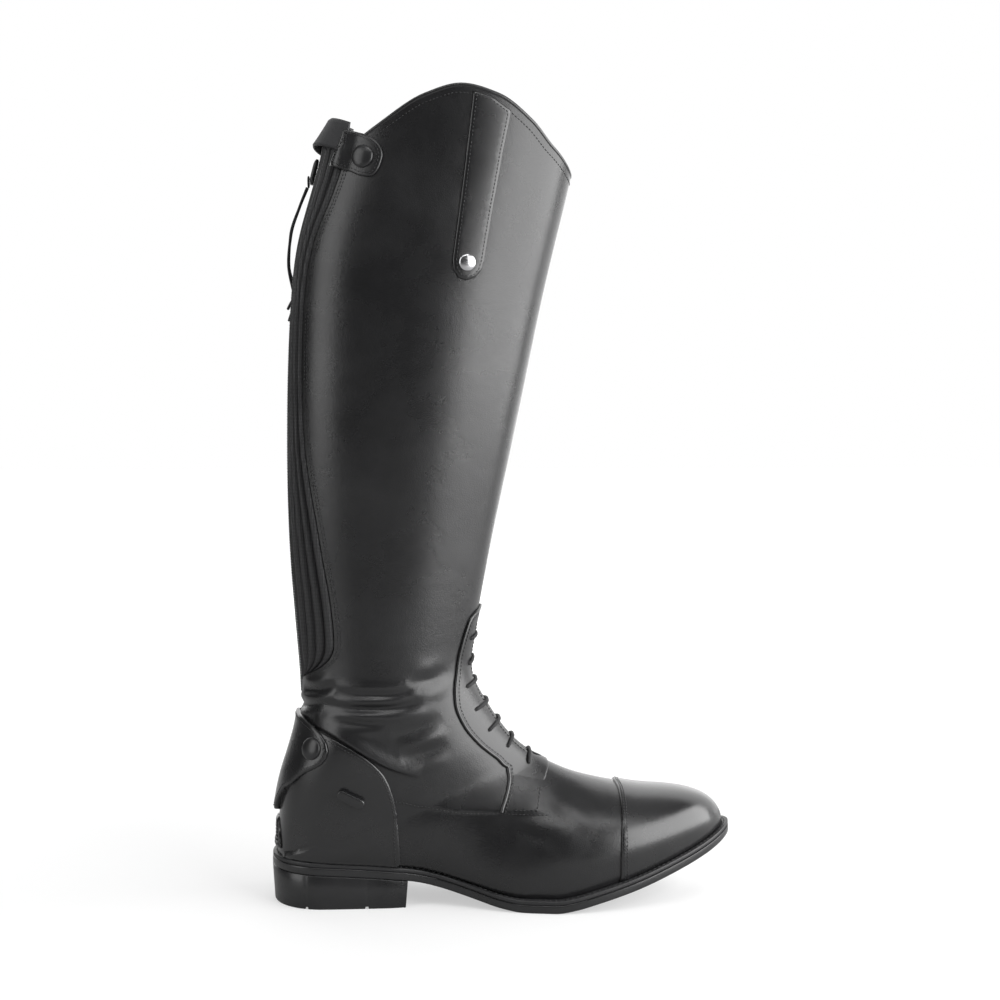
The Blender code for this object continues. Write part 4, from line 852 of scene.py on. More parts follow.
def tubeRings(route, radius, sides=10):
    route = np.array(route, float)
    tangent = np.gradient(route, axis=0)
    tangent /= np.linalg.norm(tangent, axis=1, keepdims=True)
    guide = np.array([0.0, 0.0, 1.0]) if abs(tangent[0, 2]) < 0.9 else np.array([0.0, 1.0, 0.0])
    radius = np.broadcast_to(radius, len(route))
    turns = np.arange(sides) * 2 * math.pi / sides
    rings = []
    for point, ahead, wide in zip(route, tangent, radius):
        side = np.cross(ahead, guide)
        side /= np.linalg.norm(side)
        guide = np.cross(side, ahead)
        rings.append(point + wide * (np.cos(turns)[:, None] * side + np.sin(turns)[:, None] * guide))
    return rings


def tubeUv(route, sides, radius):
    run = np.concatenate([[0], np.cumsum(np.linalg.norm(np.diff(route, axis=0), axis=1))])
    around = np.arange(sides) * 2 * math.pi * radius / sides
    uv = np.stack(np.meshgrid(around, run), 2).reshape(-1, 2)
    return np.concatenate([uv, [(0, run[0]), (0, run[-1])]])


def tubePiece(name, route, radius, finish, nodes=(), sides=10):
    points, faces = ringMesh(tubeRings(route, radius, sides))
    uv = tubeUv(np.array(route), sides, np.max(radius))
    return addPiece(name, points, faces, finish, nodes, uv)


def axesAt(place):
    origin, normal = (value[0] for value in last.base(np.array([place[0]]), np.array([place[1]])))
    up = np.array([0, 0, 1.0]) - normal * normal[2]
    up /= np.linalg.norm(up)
    return origin, normal, np.cross(up, normal), up


def bossRings(place, lift, outline, levels, lean=0.0):
    origin, normal, side, up = axesAt(place)
    outline = np.array(outline, float)
    across = side * math.cos(lean) + up * math.sin(lean)
    along = up * math.cos(lean) - side * math.sin(lean)
    return [origin + normal * (lift + high) + scale * (outline[:, :1] * across + outline[:, 1:] * along)
            for scale, high in levels]


def disc(radius, sides=40):
    turns = np.arange(sides) * 2 * math.pi / sides
    return np.stack([radius * np.cos(turns), radius * np.sin(turns)], 1)


def roundedBox(wide, long, corner, steps=8):
    points = []
    for k in range(4):
        cx = (wide / 2 - corner) * (1 if k in (0, 3) else -1)
        cy = (long / 2 - corner) * (1 if k in (0, 1) else -1)
        for t in math.pi / 2 * (k + np.arange(steps + 1) / steps):
            points.append((cx + corner * math.cos(t), cy + corner * math.sin(t)))
    return points


def rowsBetween(first, end, step=panelForm["rowStep"]):
    ends = np.interp((first, end), last.rows, last.reach)
    count = max(2, int(math.ceil(abs(ends[1] - ends[0]) / step)) + 1)
    return np.interp(np.linspace(ends[0], ends[1], count), last.reach, last.rows)


def rounded(points, step=panelForm["edgeStep"]):
    flat = np.array(points, float)
    chart = last.flat(flat[:, 0], flat[:, 1])
    run = np.concatenate([[0], np.cumsum(np.linalg.norm(np.diff(chart, axis=0), axis=1))])
    at = np.linspace(0, run[-1], max(2, int(run[-1] / step) + 1))
    return list(zip(monotone(run, flat[:, 0], at), monotone(run, flat[:, 1], at)))


# camera at the photo's place, aimed at the middle of the boot
cameraForm = {
    "at": (-0.06105, -0.99663, 0.298),
    "aim": (-0.0021, 0.0015, 0.2489),
    "lens": 57.456,
    "sensor": 36.0,
}


def pointAt(thing, at, aim):
    thing.location = at
    thing.rotation_euler = (Vector(aim) - Vector(at)).to_track_quat("-Z", "Y").to_euler()
    bpy.context.scene.collection.objects.link(thing)


def addCamera():
    data = bpy.data.cameras.new("bootCamera")
    data.lens, data.sensor_width = cameraForm["lens"], cameraForm["sensor"]
    camera = bpy.data.objects.new("bootCamera", data)
    pointAt(camera, cameraForm["at"], cameraForm["aim"])
    bpy.context.scene.camera = camera


# thong tied to the slider: rows of z, girth from the back seam, lift
thongForm = {
    "radius": 0.9,
    "strands": (
        ((441, 1.6, 3.9), (430, 3.8, 5.6), (412, 9.2, 7.8), (395, 15.4, 7.6), (381.2, 20.6, 4.6)),
        ((441, -1.2, 3.9), (430, 0.6, 5.2), (412, 5.8, 6.8), (395, 11.9, 6.6), (379.3, 18.3, 4.4)),
    ),
    "ends": (
        ((377.5, 20.5, 4.4), (375.6, 18.4, 3.6), (372.0, 13.0, 3.1), (368.0, 7.0, 3.1)),
        ((375.6, 21.0, 4.4), (373.4, 19.8, 3.6), (367.0, 15.5, 3.1), (361.0, 11.0, 3.0)),
    ),
    "knot": (377.0, 22.0, 4.4),
    "knotSize": 0.82,
    "knotDepth": 0.9,
    "knotPoints": 72,
    "endPoints": 16,
    "points": 30,
}


def overBack(rows):
    return skinAt([last.fromBack(z, girth) for z, girth, _ in rows], np.array([row[2] for row in rows]), 0.0)


def addThong():
    radius = thongForm["radius"]
    for number, rows in enumerate(thongForm["ends"], 1):
        route = smoothRoute(overBack(rows), thongForm["endPoints"])
        tubePiece(f"thongEnd{number}", route, radius, laceCord,
                              (f"cord_end_{number}",))
    turns = np.linspace(0, 2 * math.pi, thongForm["knotPoints"], endpoint=False)
    trefoil = np.stack([np.sin(turns) + 2 * np.sin(2 * turns), -thongForm["knotDepth"] * np.sin(3 * turns),
                        np.cos(turns) - 2 * np.cos(2 * turns)], 1) * thongForm["knotSize"]
    points, faces = ringMesh(tubeRings(trefoil + overBack([thongForm["knot"]])[0], radius), True)
    knot = addPiece("thongKnot", points, faces, laceCord, ("cord_knot",), points[:, [0, 2]])
    for number, rows in enumerate(thongForm["strands"], 1):
        route = smoothRoute(overBack(rows), thongForm["points"])
        strand = tubePiece(f"thongStrand{number}", route, radius, laceCord,
                           (f"pull_cord_{number}",))


addCamera()
addThong()
print("camera and thong ready")


# upper: shaft, quarters and vamp as one hollow wall
upperForm = {
    "wall": 2.0,
    "step": 2.8,
    "fine": 1.0,
    "collarLateral": (
        (44, 460), (68, 473), (96, 490.5), (117.5, 496.5), (139, 491.6), (160, 477.5), (174, 463.0),
    ),
    "collarMedial": ((44, 461), (95, 466), (140, 464), (170, 455)),
    "collarFront": 449.5,
    "panelEdge": (
        (470, 41.0), (446, 40.0), (430, 38.6), (415, 35.6), (400, 33.2), (385, 31.6), (365, 30.6),
        (330, 30.3), (284, 31.6), (262, 33.9), (238, 37.0), (208, 39.8), (189, 41.6), (171, 42.2),
        (160, 41.6), (153, 38.4), (148, 32.5), (144.5, 25.0), (142, 17.0), (140, 10.5), (137, 7.4),
        (130, 7.0),
    ),
    "seamTop": 127.0,
    "throatEdge": (
        (178, 0.8), (174, 4.2), (164, 5.6), (140, 6.6), (110, 7.0), (94, 6.0), (88, 3.6), (86, 0.8),
    ),
    "bindingRadius": 1.45,
    "bindingLift": -1.0,
    "bindingSides": 12,
    "collarPoints": 130,
    "toeRows": (0.08, 0.16, 0.3),
    "toeColumns": (-0.6, -0.25, 0.25, 0.6),
}


def panelEdge(side):
    top = upperForm["collarLateral"][0][1] if side == lateral else upperForm["collarMedial"][0][1]
    bottom = upperForm["panelEdge"][-1][0]
    z = np.linspace(top, bottom, int((top - bottom) / panelForm["edgeStep"]))
    return [last.fromBack(at, side * tableCurve(upperForm["panelEdge"], at)) for at in z]


def collarLine():
    left = panelEdge(lateral)[:1] + sidePoints(upperForm["collarLateral"][1:], lateral)
    right = panelEdge(medial)[:1] + sidePoints(upperForm["collarMedial"][1:], medial)
    knots = np.array(left + [last.fromFront(upperForm["collarFront"], 0.0)] + right[::-1])
    u = np.linspace(knots[0, 1], knots[-1, 1], upperForm["collarPoints"])
    return list(zip(monotone(knots[:, 1], knots[:, 0], u), u))


def throatLoop(spare=0.0, count=48):
    table = upperForm["throatEdge"]
    z = np.linspace(table[0][0], table[-1][0], count)
    half = tableCurve(table, z) + spare
    right = [last.fromFront(at, w) for at, w in zip(z, half)]
    return right + [last.fromFront(at, -w) for at, w in zip(z, half)][::-1]


def toePoints():
    tip = last.rows[-1]
    return [(tip - back, u) for back in upperForm["toeRows"] for u in upperForm["toeColumns"]]


def addUpper():
    tip = last.rows[-1]
    collar = collarLine()
    seam = list(rowsBetween(last.fromBack(upperForm["seamTop"], 0.0)[0], last.heelRow))
    down = seam + list(rowsBetween(last.heelRow, tip))[1:]
    loop = collar + panelEdge(medial)[1:] + [(s, 1.0) for s in down] + [(tip, 0.0)]
    loop += [(s, -1.0) for s in down[::-1]] + panelEdge(lateral)[:0:-1]
    leatherPanel("upperLeather", [loop, throatLoop()], 0.0, 0.0, leather, "upper_leather", ("upper",),
                 step=upperForm["step"], extra=toePoints(), inner=-upperForm["wall"], second=lining,
                 fine=upperForm["fine"])
    route = skinAt(collar, upperForm["bindingLift"])
    tubePiece("collarBinding", route, upperForm["bindingRadius"], leather,
              sides=upperForm["bindingSides"])


addUpper()
print("upper ready")


# leather laid over the upper
overlayForm = {
    "low": 0.2,
    "thick": 1.35,
    "secondLow": 1.7,
    "secondThick": 1.5,
    "capSeam": ((215.4, 70), (215.3, 50), (214.5, 19.5)),
    "counterSeam": (
        (80.3, 26.5), (80.1, 32), (79.7, 38.5), (79.2, 45), (78.6, 52), (77.7, 60), (76.5, 67), (74.9, 73),
        (72.8, 79), (70, 84.5), (65.8, 89.4), (60, 94.5), (51.5, 99.9), (42, 105), (34.5, 108.5), (27, 111.5),
    ),
    "counterTop": 117.0,
    "counterPoints": 52,
    "facingTop": 183.0,
    "facingEdge": (
        (123.6, 176.6), (119.8, 167.1), (116.7, 156.2), (114.8, 144), (113.7, 131.6), (114.6, 122.5),
        (119.4, 111.6), (128, 100.5), (135.5, 93.6), (140.8, 89.2), (144.9, 85.0), (147.1, 79.4), (146.6, 73),
        (144.6, 66.4), (141.9, 58.4),
    ),
    "facingFoot": ((153, 57.8), (165, 57.4), (168, 72)),
    "facingFront": 172.0,
    "backStay": (
        (33.5, -18), (44, -14), (51, -8), (52.5, 0), (51, 8), (44, 14), (33.5, 18), (33.5, 6), (33.5, -6),
    ),
    "flapMedial": ((57, -8), (54.8, 0), (54.8, 13), (80, 13.5), (100, 13.5), (116, 13), (119, 0)),
    "flapLateral": (
        (22, 116.5), (28.5, 112.4), (33.4, 108), (36.4, 103.4), (37.3, 98.8), (36.1, 94.3), (33, 90.4),
        (28.6, 87.4), (24, 84.8), (20, 81.4), (16, 76.8), (12, 73),
    ),
    "sideStrap": (
        (124.5, 493), (120, 455), (115.5, 420), (112, 394), (112.5, 388), (115.5, 383.5), (120, 382),
        (125, 383.5), (129, 388), (130.8, 394), (136, 425), (142, 458), (147, 482.5), (136, 490),
    ),
    "lateralTab": (
        (59.4, 468.7), (65.8, 465.1), (70.3, 459.1), (70.9, 453.9), (68.4, 447.1), (63.9, 442.8),
        (58.2, 443.4), (51.4, 446.4),
    ),
    "medialTab": ((57, 468.5), (67, 457), (72, 446), (69, 440.5), (61, 441.5), (51, 448.5)),
    "pipingRadius": 1.1,
    "pipingRise": 0.5,
    "facingThick": 1.0,
    "facingRoom": 0.3,
    "tabRoot": {
        lateral: ((449.8, 33.5), (461, 36.0), (471.5, 38.5)),
        medial: ((455.5, 38.0), (465, 39.0), (473, 40.0)),
    },
    "capSoft": 0.3,
    "tipRows": 0.5,
    # pairs: where a change starts, and the length it takes
    "tabRise": 3.4,
    "tabRiseGirth": (38.5, 8.0),
    "flapRise": 2.2,
    "flapRiseZ": (92.0, 30.0),
    "flapRiseY": (6.0, 10.0),
    "thinX": (158.0, 10.0),
    "thinSide": 0.2,
    "thinSink": 0.2,
}


def backPoints(table, side=medial):
    return [last.fromBack(z, side * girth) for z, girth in table]


def capSeam():
    seam = overlayForm["capSeam"]
    return rounded([(last.ridgeRow(seam[0][0]), 0.0)] + sidePoints(seam[1:], lateral))


def counterSeam():
    line = smoothRoute(overlayForm["counterSeam"], overlayForm["counterPoints"])
    top = sidePoints(line[-1:], lateral) + [last.fromBack(overlayForm["counterTop"], -0.01)]
    return sidePoints(line[:-1], lateral) + rounded(top)


def facingSide():
    top = last.fromFront(overlayForm["facingTop"], 0.0)
    return rounded([top] + sidePoints(overlayForm["facingEdge"], lateral))


def facingLoop():
    edge, foot = facingSide(), sidePoints(overlayForm["facingFoot"], lateral)
    front = (last.ridgeRow(overlayForm["facingFront"]), 0.0)
    return edge + foot + [front] + mirrored(foot) + mirrored(edge)[:-1]


def flapLoop():
    return backPoints(overlayForm["flapMedial"]) + sidePoints(overlayForm["flapLateral"], lateral)


def tabLoop(side):
    table = overlayForm["lateralTab"] if side == lateral else overlayForm["medialTab"]
    return backPoints(overlayForm["tabRoot"][side], side) + rounded(sidePoints(table, side))


# the tab rises over the end of the band
def overBand(s, u, lift):
    start, over = overlayForm["tabRiseGirth"]
    girth = (1 - np.abs(u)) * last.girth(s, u)
    return lift + overlayForm["tabRise"] * (1 - np.clip((girth - start) / over, 0, 1) ** 0.8)


# the cap keeps its full height where its rows meet at the tip
def fullTip(s, u, lift):
    tip = s > last.rows[-1] - overlayForm["tipRows"]
    return np.where(tip, overlayForm["low"] + overlayForm["thick"], lift)


# the flap's free foot stands a little off the counter
def flapLift(s, u, lift):
    (startZ, overZ), (startY, overY) = overlayForm["flapRiseZ"], overlayForm["flapRiseY"]
    _, y, z = last.base(s, u)[0].T
    rise = overlayForm["flapRise"] * np.clip((startZ - z) / overZ, 0, 1)
    return lift + rise * np.clip((startY - y) / overY, 0, 1)


# the facing thins out to the vamp at its front and foot
def thinFront(s, u, lift):
    start, over = overlayForm["thinX"]
    reach = np.clip((last.along(last.cut["frontX"], s) - start) / over, 0, 1)
    reach = reach * np.clip(np.abs(u) / overlayForm["thinSide"], 0, 1)
    return lift - (lift + overlayForm["thinSink"]) * reach


def overlay(name, loops, finish, slotName, nodes, level=1, **more):
    low, thick = (overlayForm[k] for k in (("low", "thick") if level == 1 else ("secondLow", "secondThick")))
    leatherPanel(name, loops, low, thick, finish, slotName, nodes, **more)


def addOverlays():
    tip = last.rows[-1]
    seam = capSeam()
    half = seam[:-1] + [(s, -1.0) for s in rowsBetween(seam[-1][0], tip)]
    overlay("toeCap", [half + [(tip, 0.0)] + mirrored(half)[:-1]], polished, "polished_leather", ("toe_cap",),
            step=2.6, extra=toePoints(), soft=overlayForm["capSoft"], shape=fullTip)
    seam = counterSeam()
    half = [(s, -1.0) for s in rowsBetween(last.heelRow, seam[0][0])][1:] + seam[1:-1]
    loop = [(last.heelRow, -1.0)] + half + [(seam[-1][0], -1.0)] + mirrored(half)
    overlay("heelCounter", [loop], polished, "polished_leather", ("counter",), fromBack=True, step=2.8,
            soft=0.0)
    leatherPanel("laceFacing", [facingLoop(), throatLoop(overlayForm["facingRoom"])], overlayForm["low"],
                 overlayForm["facingThick"], leather, "upper_leather", ("lace_facing",), step=2.6,
                 shape=thinFront)
    overlay("backStay", [backPoints(overlayForm["backStay"])], polished, "polished_leather", ("back_stay",),
            2, fromBack=True, step=2.2, soft=0.0)
    overlay("heelFlap", [flapLoop()], polished, "polished_leather", ("heel_flap",), 2, fromBack=True,
            step=2.4, soft=0.0, shape=flapLift)
    overlay("sideStrap", [sidePoints(overlayForm["sideStrap"], lateral)], polished, "upper_leather",
            ("side_strap",), step=2.6, roll=2.0)
    for name, node, side in (("strapTabLateral", "strap_tab_lateral", lateral),
                             ("strapTabMedial", "strap_tab_medial", medial)):
        overlay(name, [tabLoop(side)], leather, "upper_leather", (node,), step=2.2, shape=overBand)
    for name, edge in (("facingPipingLateral", facingSide()), ("facingPipingMedial", mirrored(facingSide()))):
        route = skinAt(edge, overlayForm["low"] + overlayForm["pipingRise"])
        tubePiece(name, route, overlayForm["pipingRadius"], polished)


addOverlays()
print("overlays ready")


# sole: outsole, welt and heel block; edges as inset and height over a layer's bottom or top
layerForm = {
    "stations": 130,
    "outsoleLow": ((1.6, 0.0), (0.5, 0.2), (0.1, 0.7), (0.0, 1.4)),
    "outsoleHigh": ((0.0, -0.7), (0.12, -0.2), (0.5, 0.0)),
    "weltInset": 0.2,
    "weltWidth": 12.0,
    "weltFoot": -0.3,
    "weltLow": ((0.5, -0.3), (0.1, 0.2), (0.0, 0.7)),
    "weltHigh": ((0.0, -0.8), (0.25, -0.2), (0.8, 0.0)),
    "sharp": 50,
}


def stations(first, end, count):
    return first + (end - first) * (1 - np.cos(np.linspace(0, math.pi, count))) / 2


def sideEdges(xs):
    return [np.stack([xs, soleEdge(xs, side)], 1) for side in (lateral, medial)]


def outlineRing():
    left, right = sideEdges(stations(0.0, soleForm["length"], layerForm["stations"]))
    return np.concatenate([left, right[-2:0:-1]])


def insetRing(loop, room):
    return offsetLine(loop, room, True) if room else loop.copy()


def layerRings(loop, levels, start=0.0):
    rings = []
    for room, up in levels:
        ring = insetRing(loop, room)
        rings.append(np.column_stack([ring, soleBottom(ring[:, 0]) + start + up]))
    return rings


# a stack of rings closed by strips from side to side, each ring starting with its lateral points
def slabPiece(name, rings, lefts, nodes):
    faces, index = ringFaces(len(rings), len(rings[0]), False)
    for ring, turn in ((index[0], 1), (index[-1], -1)):
        left, right = list(ring[:lefts]), [ring[0]] + list(ring[lefts:][::-1])
        right += [left[-1]] * (lefts - len(right))
        for k in range(lefts - 1):
            face = [left[k], left[k + 1], right[k + 1], right[k]]
            face = [p for i, p in enumerate(face) if p not in face[:i]]
            faces.append(tuple(face[::turn]))
    points = np.concatenate(rings)
    addPiece(name, points, outward(points, faces), soleRubber, nodes, sharp=layerForm["sharp"])


def addSole():
    thick, welt, wide = soleForm["outsole"], soleForm["welt"], layerForm["weltWidth"]
    loop = outlineRing()
    levels = layerForm["outsoleLow"] + tuple((room, thick + up) for room, up in layerForm["outsoleHigh"])
    slabPiece("outsoleSlab", layerRings(loop, levels), layerForm["stations"], ("outsole",))
    levels = layerForm["weltLow"] + tuple((room, welt + up) for room, up in layerForm["weltHigh"])
    levels += ((wide, welt), (wide, layerForm["weltFoot"]))
    rings = layerRings(insetRing(loop, layerForm["weltInset"]), levels, thick + soleForm["gap"])
    points, faces = ringMesh(np.swapaxes(np.array(rings), 0, 1), True)
    addPiece("weltStrip", points, faces, weltLeather, ("welt",), sharp=layerForm["sharp"])
    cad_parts["insole"].data.materials.clear()
    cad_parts["insole"].data.materials.append(lining)


heelForm = {
    "breast": 84.5,
    "taper": 1.2,
    "stations": 70,
    "grooves": (22.0, 60.0),
    "grooveWide": 2.2,
    "grooveDeep": 1.3,
    "grooveWall": 0.25,
    "grooveRoom": 0.4,
    "low": ((1.4, 0.0), (0.4, 0.15), (0.0, 0.8)),
    "high": ((0.0, -0.5), (0.3, -0.1), (0.8, 0.1)),
}


# the heel's grooves need points at their edges
def heelStations():
    xs = list(stations(0.0, heelForm["breast"], heelForm["stations"]))
    wall, room = heelForm["grooveWall"], heelForm["grooveRoom"]
    for at in heelForm["grooves"]:
        near, far = at - heelForm["grooveWide"] / 2, at + heelForm["grooveWide"] / 2
        xs = [x for x in xs if x < near - room or x > far + room] + [near, near + wall, far - wall, far]
    return np.array(sorted(xs))


def addHeel():
    breast, taper = heelForm["breast"], heelForm["taper"]
    xs = heelStations()
    left, right = sideEdges(xs)
    loop = np.concatenate([left, right[:0:-1]])
    floor = np.zeros(len(loop))
    half = (heelForm["grooveWide"] - heelForm["grooveWall"]) / 2
    for at in heelForm["grooves"]:
        floor[np.abs(loop[:, 0] - at) < half] = heelForm["grooveDeep"]
    rings = []
    for room, up in heelForm["low"]:
        ring = insetRing(loop, room)
        ring[:, 0] += taper * (1 - 2 * loop[:, 0] / breast)
        ring[:, 1] *= 1 - taper / np.maximum(np.abs(loop[:, 1]), taper)
        rings.append(np.column_stack([ring, floor + up]))
    for room, up in heelForm["high"]:
        rings.append(np.column_stack([insetRing(loop, room), soleBottom(loop[:, 0]) + up]))
    slabPiece("heelBlock", rings, len(xs), ("heel",))


addSole()
addHeel()
print("sole ready")


# lace, run as one cord from the top holes down the throat; bars as z, half reach, drop at the ends
laceForm = {
    "bars": (
        (166.0, 14.0, 2.0), (151.5, 13.0, 3.4), (136.6, 20.0, 1.4), (122.7, 21.5, 1.0), (111.2, 20.5, 2.1),
        (100.4, 16.0, 2.6), (90.8, 15.0, 3.4),
    ),
    "radius": 1.1,
    "over": 1.9,
    "crown": 0.9,
    "crownHalf": 9.0,
    "under": -1.2,
    "dip": 0.7,
    "dipFrom": 0.95,
    "holeRoom": 1.0,
    "returnRoom": 2.6,
    "barPoints": 17,
    "points": 700,
}


def laceRoute():
    rows = []
    over, under, crown, bars = (laceForm[key] for key in ("over", "under", "crown", "bars"))
    for number, (z, reach, drop) in enumerate(bars):
        sign = -1 if number % 2 == 0 else 1
        hole = reach + laceForm["holeRoom"]
        rows.append((z - drop, sign * hole, under))
        for share in np.linspace(-1, 1, laceForm["barPoints"]):
            calm = np.clip(abs(share * reach) / laceForm["crownHalf"], 0, 1)
            lift = crown + (over - crown) * calm - laceForm["dip"] * (abs(share) > laceForm["dipFrom"])
            rows.append((z - drop * share**2, -sign * share * reach, lift))
        rows.append((z - drop, -sign * hole, under))
    side = 1 if len(bars) % 2 else -1
    for z, reach, drop in bars[-2::-1]:
        rows.append((z - drop, side * (reach + laceForm["returnRoom"]), under))
    places = [last.fromFront(z, girth) for z, girth, _ in rows]
    return skinAt(places, np.array([row[2] for row in rows]))


def addLace():
    route = smoothRoute(laceRoute(), laceForm["points"])
    bars = [f"lace_bar_{k}" for k in range(1, 8)]
    tubePiece("elasticLace", route, laceForm["radius"], laceCord, bars)


tongueForm = {
    "top": 176.0,
    "bottom": 89.0,
    "half": 12.6,
    "topHalf": 9.0,
    "bottomHalf": 6.5,
    "fullFrom": 104.0,
    "fullTo": 162.0,
    "high": -2.3,
    "crown": 2.3,
    "crownHalf": 3.4,
    "thick": 1.6,
    "rows": 48,
    "columns": 31,
}


def addTongue():
    z = np.linspace(tongueForm["top"], tongueForm["bottom"], tongueForm["rows"])
    half = np.interp(z, [tongueForm[key] for key in ("bottom", "fullFrom", "fullTo", "top")],
                     [tongueForm[key] for key in ("bottomHalf", "half", "half", "topHalf")])
    share = np.linspace(-1, 1, tongueForm["columns"])
    grid = np.array([[last.fromFront(at, w * k) for k in share] for at, w in zip(z, half)])
    across = half[:, None] * share
    high = tongueForm["high"] + tongueForm["crown"] * np.exp(-((across / tongueForm["crownHalf"]) ** 4))
    gridPiece("tongueSheet", grid, tongueForm["high"] - tongueForm["thick"], high, leather,
              ("tongue",), False, 1.0)


addLace()
addTongue()
print("lacing ready")


# back panel: pleated elastic, zip and the band over its top
backForm = {
    "top": 472.5,
    "flatFrom": 466.5,
    "flatOver": 4.0,
    "edgeRoom": 0.3,
    "gussetBottom": 141.5,
    "gussetRows": 110,
    "gussetLap": 0.4,
    "gussetLeast": 0.6,
    "gussetThick": 1.0,
    "pleats": {lateral: 4, medial: 5},
    "pleatPoints": 10,
    "pleatPower": 0.9,
    "pleatFade": 16.0,
    "pleatFoot": 0.4,
    "ridge": 1.3,
    "valley": -1.5,
}


# the panel's top lies flat behind the band
def underBand(z):
    return np.clip((z - backForm["flatFrom"]) / backForm["flatOver"], 0, 1)


def addGusset(side, name, node):
    valley, ridge, foot = backForm["valley"], backForm["ridge"], backForm["pleatFoot"]
    z = np.linspace(backForm["top"], backForm["gussetBottom"], backForm["gussetRows"])
    pleats = backForm["pleats"][side]
    share = np.linspace(0, 1, pleats * backForm["pleatPoints"] + 1)
    inner = tapeForm["half"] - backForm["gussetLap"]
    outer = tableCurve(upperForm["panelEdge"], z) - backForm["edgeRoom"]
    outer = np.maximum(outer, inner + backForm["gussetLeast"])
    grid = np.array([[last.fromBack(at, side * (inner + (wide - inner) * k)) for k in share]
                     for at, wide in zip(z, outer)])
    fold = np.abs(np.sin(np.pi * share * pleats)) ** backForm["pleatPower"]
    high = valley + (ridge - valley) * fold
    calm = np.clip((z - backForm["gussetBottom"]) / backForm["pleatFade"], 0, 1)[:, None]
    high = valley + (high[None, :] - valley) * (foot + (1 - foot) * calm)
    high += (ridge - high) * underBand(z)[:, None]
    gridPiece(name, grid, valley - backForm["gussetThick"], high, elastic, (node,))


tapeForm = {
    "half": 12.2,
    "high": -0.3,
    "thick": 1.2,
    "rows": 140,
    "columns": 21,
    "tipStart": 0.4,
    "tipOver": 3.2,
    "tipLeast": 0.1,
    "ridge": 0.5,
    "ridgeAt": 0.55,
    "ridgeWide": 0.12,
}


def addZip():
    foot = upperForm["seamTop"]
    z = np.linspace(backForm["top"], foot, tapeForm["rows"])
    half = np.minimum(tapeForm["half"], tableCurve(upperForm["panelEdge"], z) - backForm["edgeRoom"])
    half *= np.clip((z - foot + tapeForm["tipStart"]) / tapeForm["tipOver"], tapeForm["tipLeast"], 1)
    share = np.linspace(-1, 1, tapeForm["columns"])
    grid = np.array([[last.fromBack(at, w * k) for k in share] for at, w in zip(z, half)])
    bulge = np.exp(-((np.abs(share) - tapeForm["ridgeAt"]) / tapeForm["ridgeWide"]) ** 2)
    lift = tapeForm["high"] + tapeForm["ridge"] * bulge
    lift = lift + (backForm["ridge"] - lift) * underBand(z)[:, None]
    gridPiece("zipTape", grid, tapeForm["high"] - tapeForm["thick"], lift, tapeCloth,
              ("zip_tape",))


sliderForm = {
    "z": 451.0,
    "lift": 0.9,
    "size": (9.0, 16.0),
    "corner": 3.0,
    "levels": ((0.86, 0.0), (1.0, 0.4), (1.0, 1.8), (0.9, 2.4), (0.72, 2.8), (0.4, 3.0)),
    "ringRadius": 3.1,
    "ringThick": 0.65,
    "ringOut": 4.2,
    "ringDown": 6.6,
    "ringUpright": 0.97,
    "ringTilt": 0.25,
    "ringPoints": 40,
}


def addSlider():
    place = last.fromBack(sliderForm["z"], 0.0)
    outline = roundedBox(*sliderForm["size"], sliderForm["corner"])
    points, faces = ringMesh(bossRings(place, sliderForm["lift"], outline, sliderForm["levels"]))
    addPiece("zipSlider", points, faces, sliderMetal, ("zip_slider",))
    origin, normal, side, up = axesAt(place)
    turns = np.linspace(0, 2 * math.pi, sliderForm["ringPoints"], endpoint=False)[:, None]
    centre = origin + normal * sliderForm["ringOut"] - up * sliderForm["ringDown"]
    tilted = up * sliderForm["ringUpright"] + normal * sliderForm["ringTilt"]
    ring = centre + sliderForm["ringRadius"] * (np.cos(turns) * side + np.sin(turns) * tilted)
    points, faces = ringMesh(tubeRings(ring, sliderForm["ringThick"]), True)
    addPiece("sliderRing", points, faces, sliderMetal)


bandForm = {
    "reach": 41.0,
    "middle": 474.5,
    "drop": 8.0,
    "high": 18.0,
    "low": 1.9,
    "standOff": 3.2,
    "lean": 9.0,
    "thick": 1.8,
    "columns": 81,
    "rows": 15,
    "edgeFrom": 0.44,
    "edgeOver": 0.06,
    "edgeFall": 0.8,
}


def addCollarStrap():
    share = np.linspace(-1, 1, bandForm["columns"])
    drop = np.linspace(0.5, -0.5, bandForm["rows"])
    middle = bandForm["middle"] - bandForm["drop"] * share**2
    grid = np.array([[last.fromBack(z + h * bandForm["high"], k * bandForm["reach"])
                      for z, k in zip(middle, share)] for h in drop])
    lean = bandForm["standOff"] - bandForm["lean"] * (drop[:, None] + 0.5)
    low = bandForm["low"] + lean * (1 - share**2)
    near = np.clip((np.abs(drop) - bandForm["edgeFrom"]) / bandForm["edgeOver"], 0, 1)
    edge = np.sqrt(1 - near**2 * bandForm["edgeFall"])[:, None]
    gridPiece("collarStrap", grid, low, low + bandForm["thick"] * edge, bandCloth,
              ("collar_strap",))


addGusset(lateral, "gussetLateral", "gusset_lateral")
addGusset(medial, "gussetMedial", "gusset_medial")
addZip()
addSlider()
addCollarStrap()
print("back panel ready")


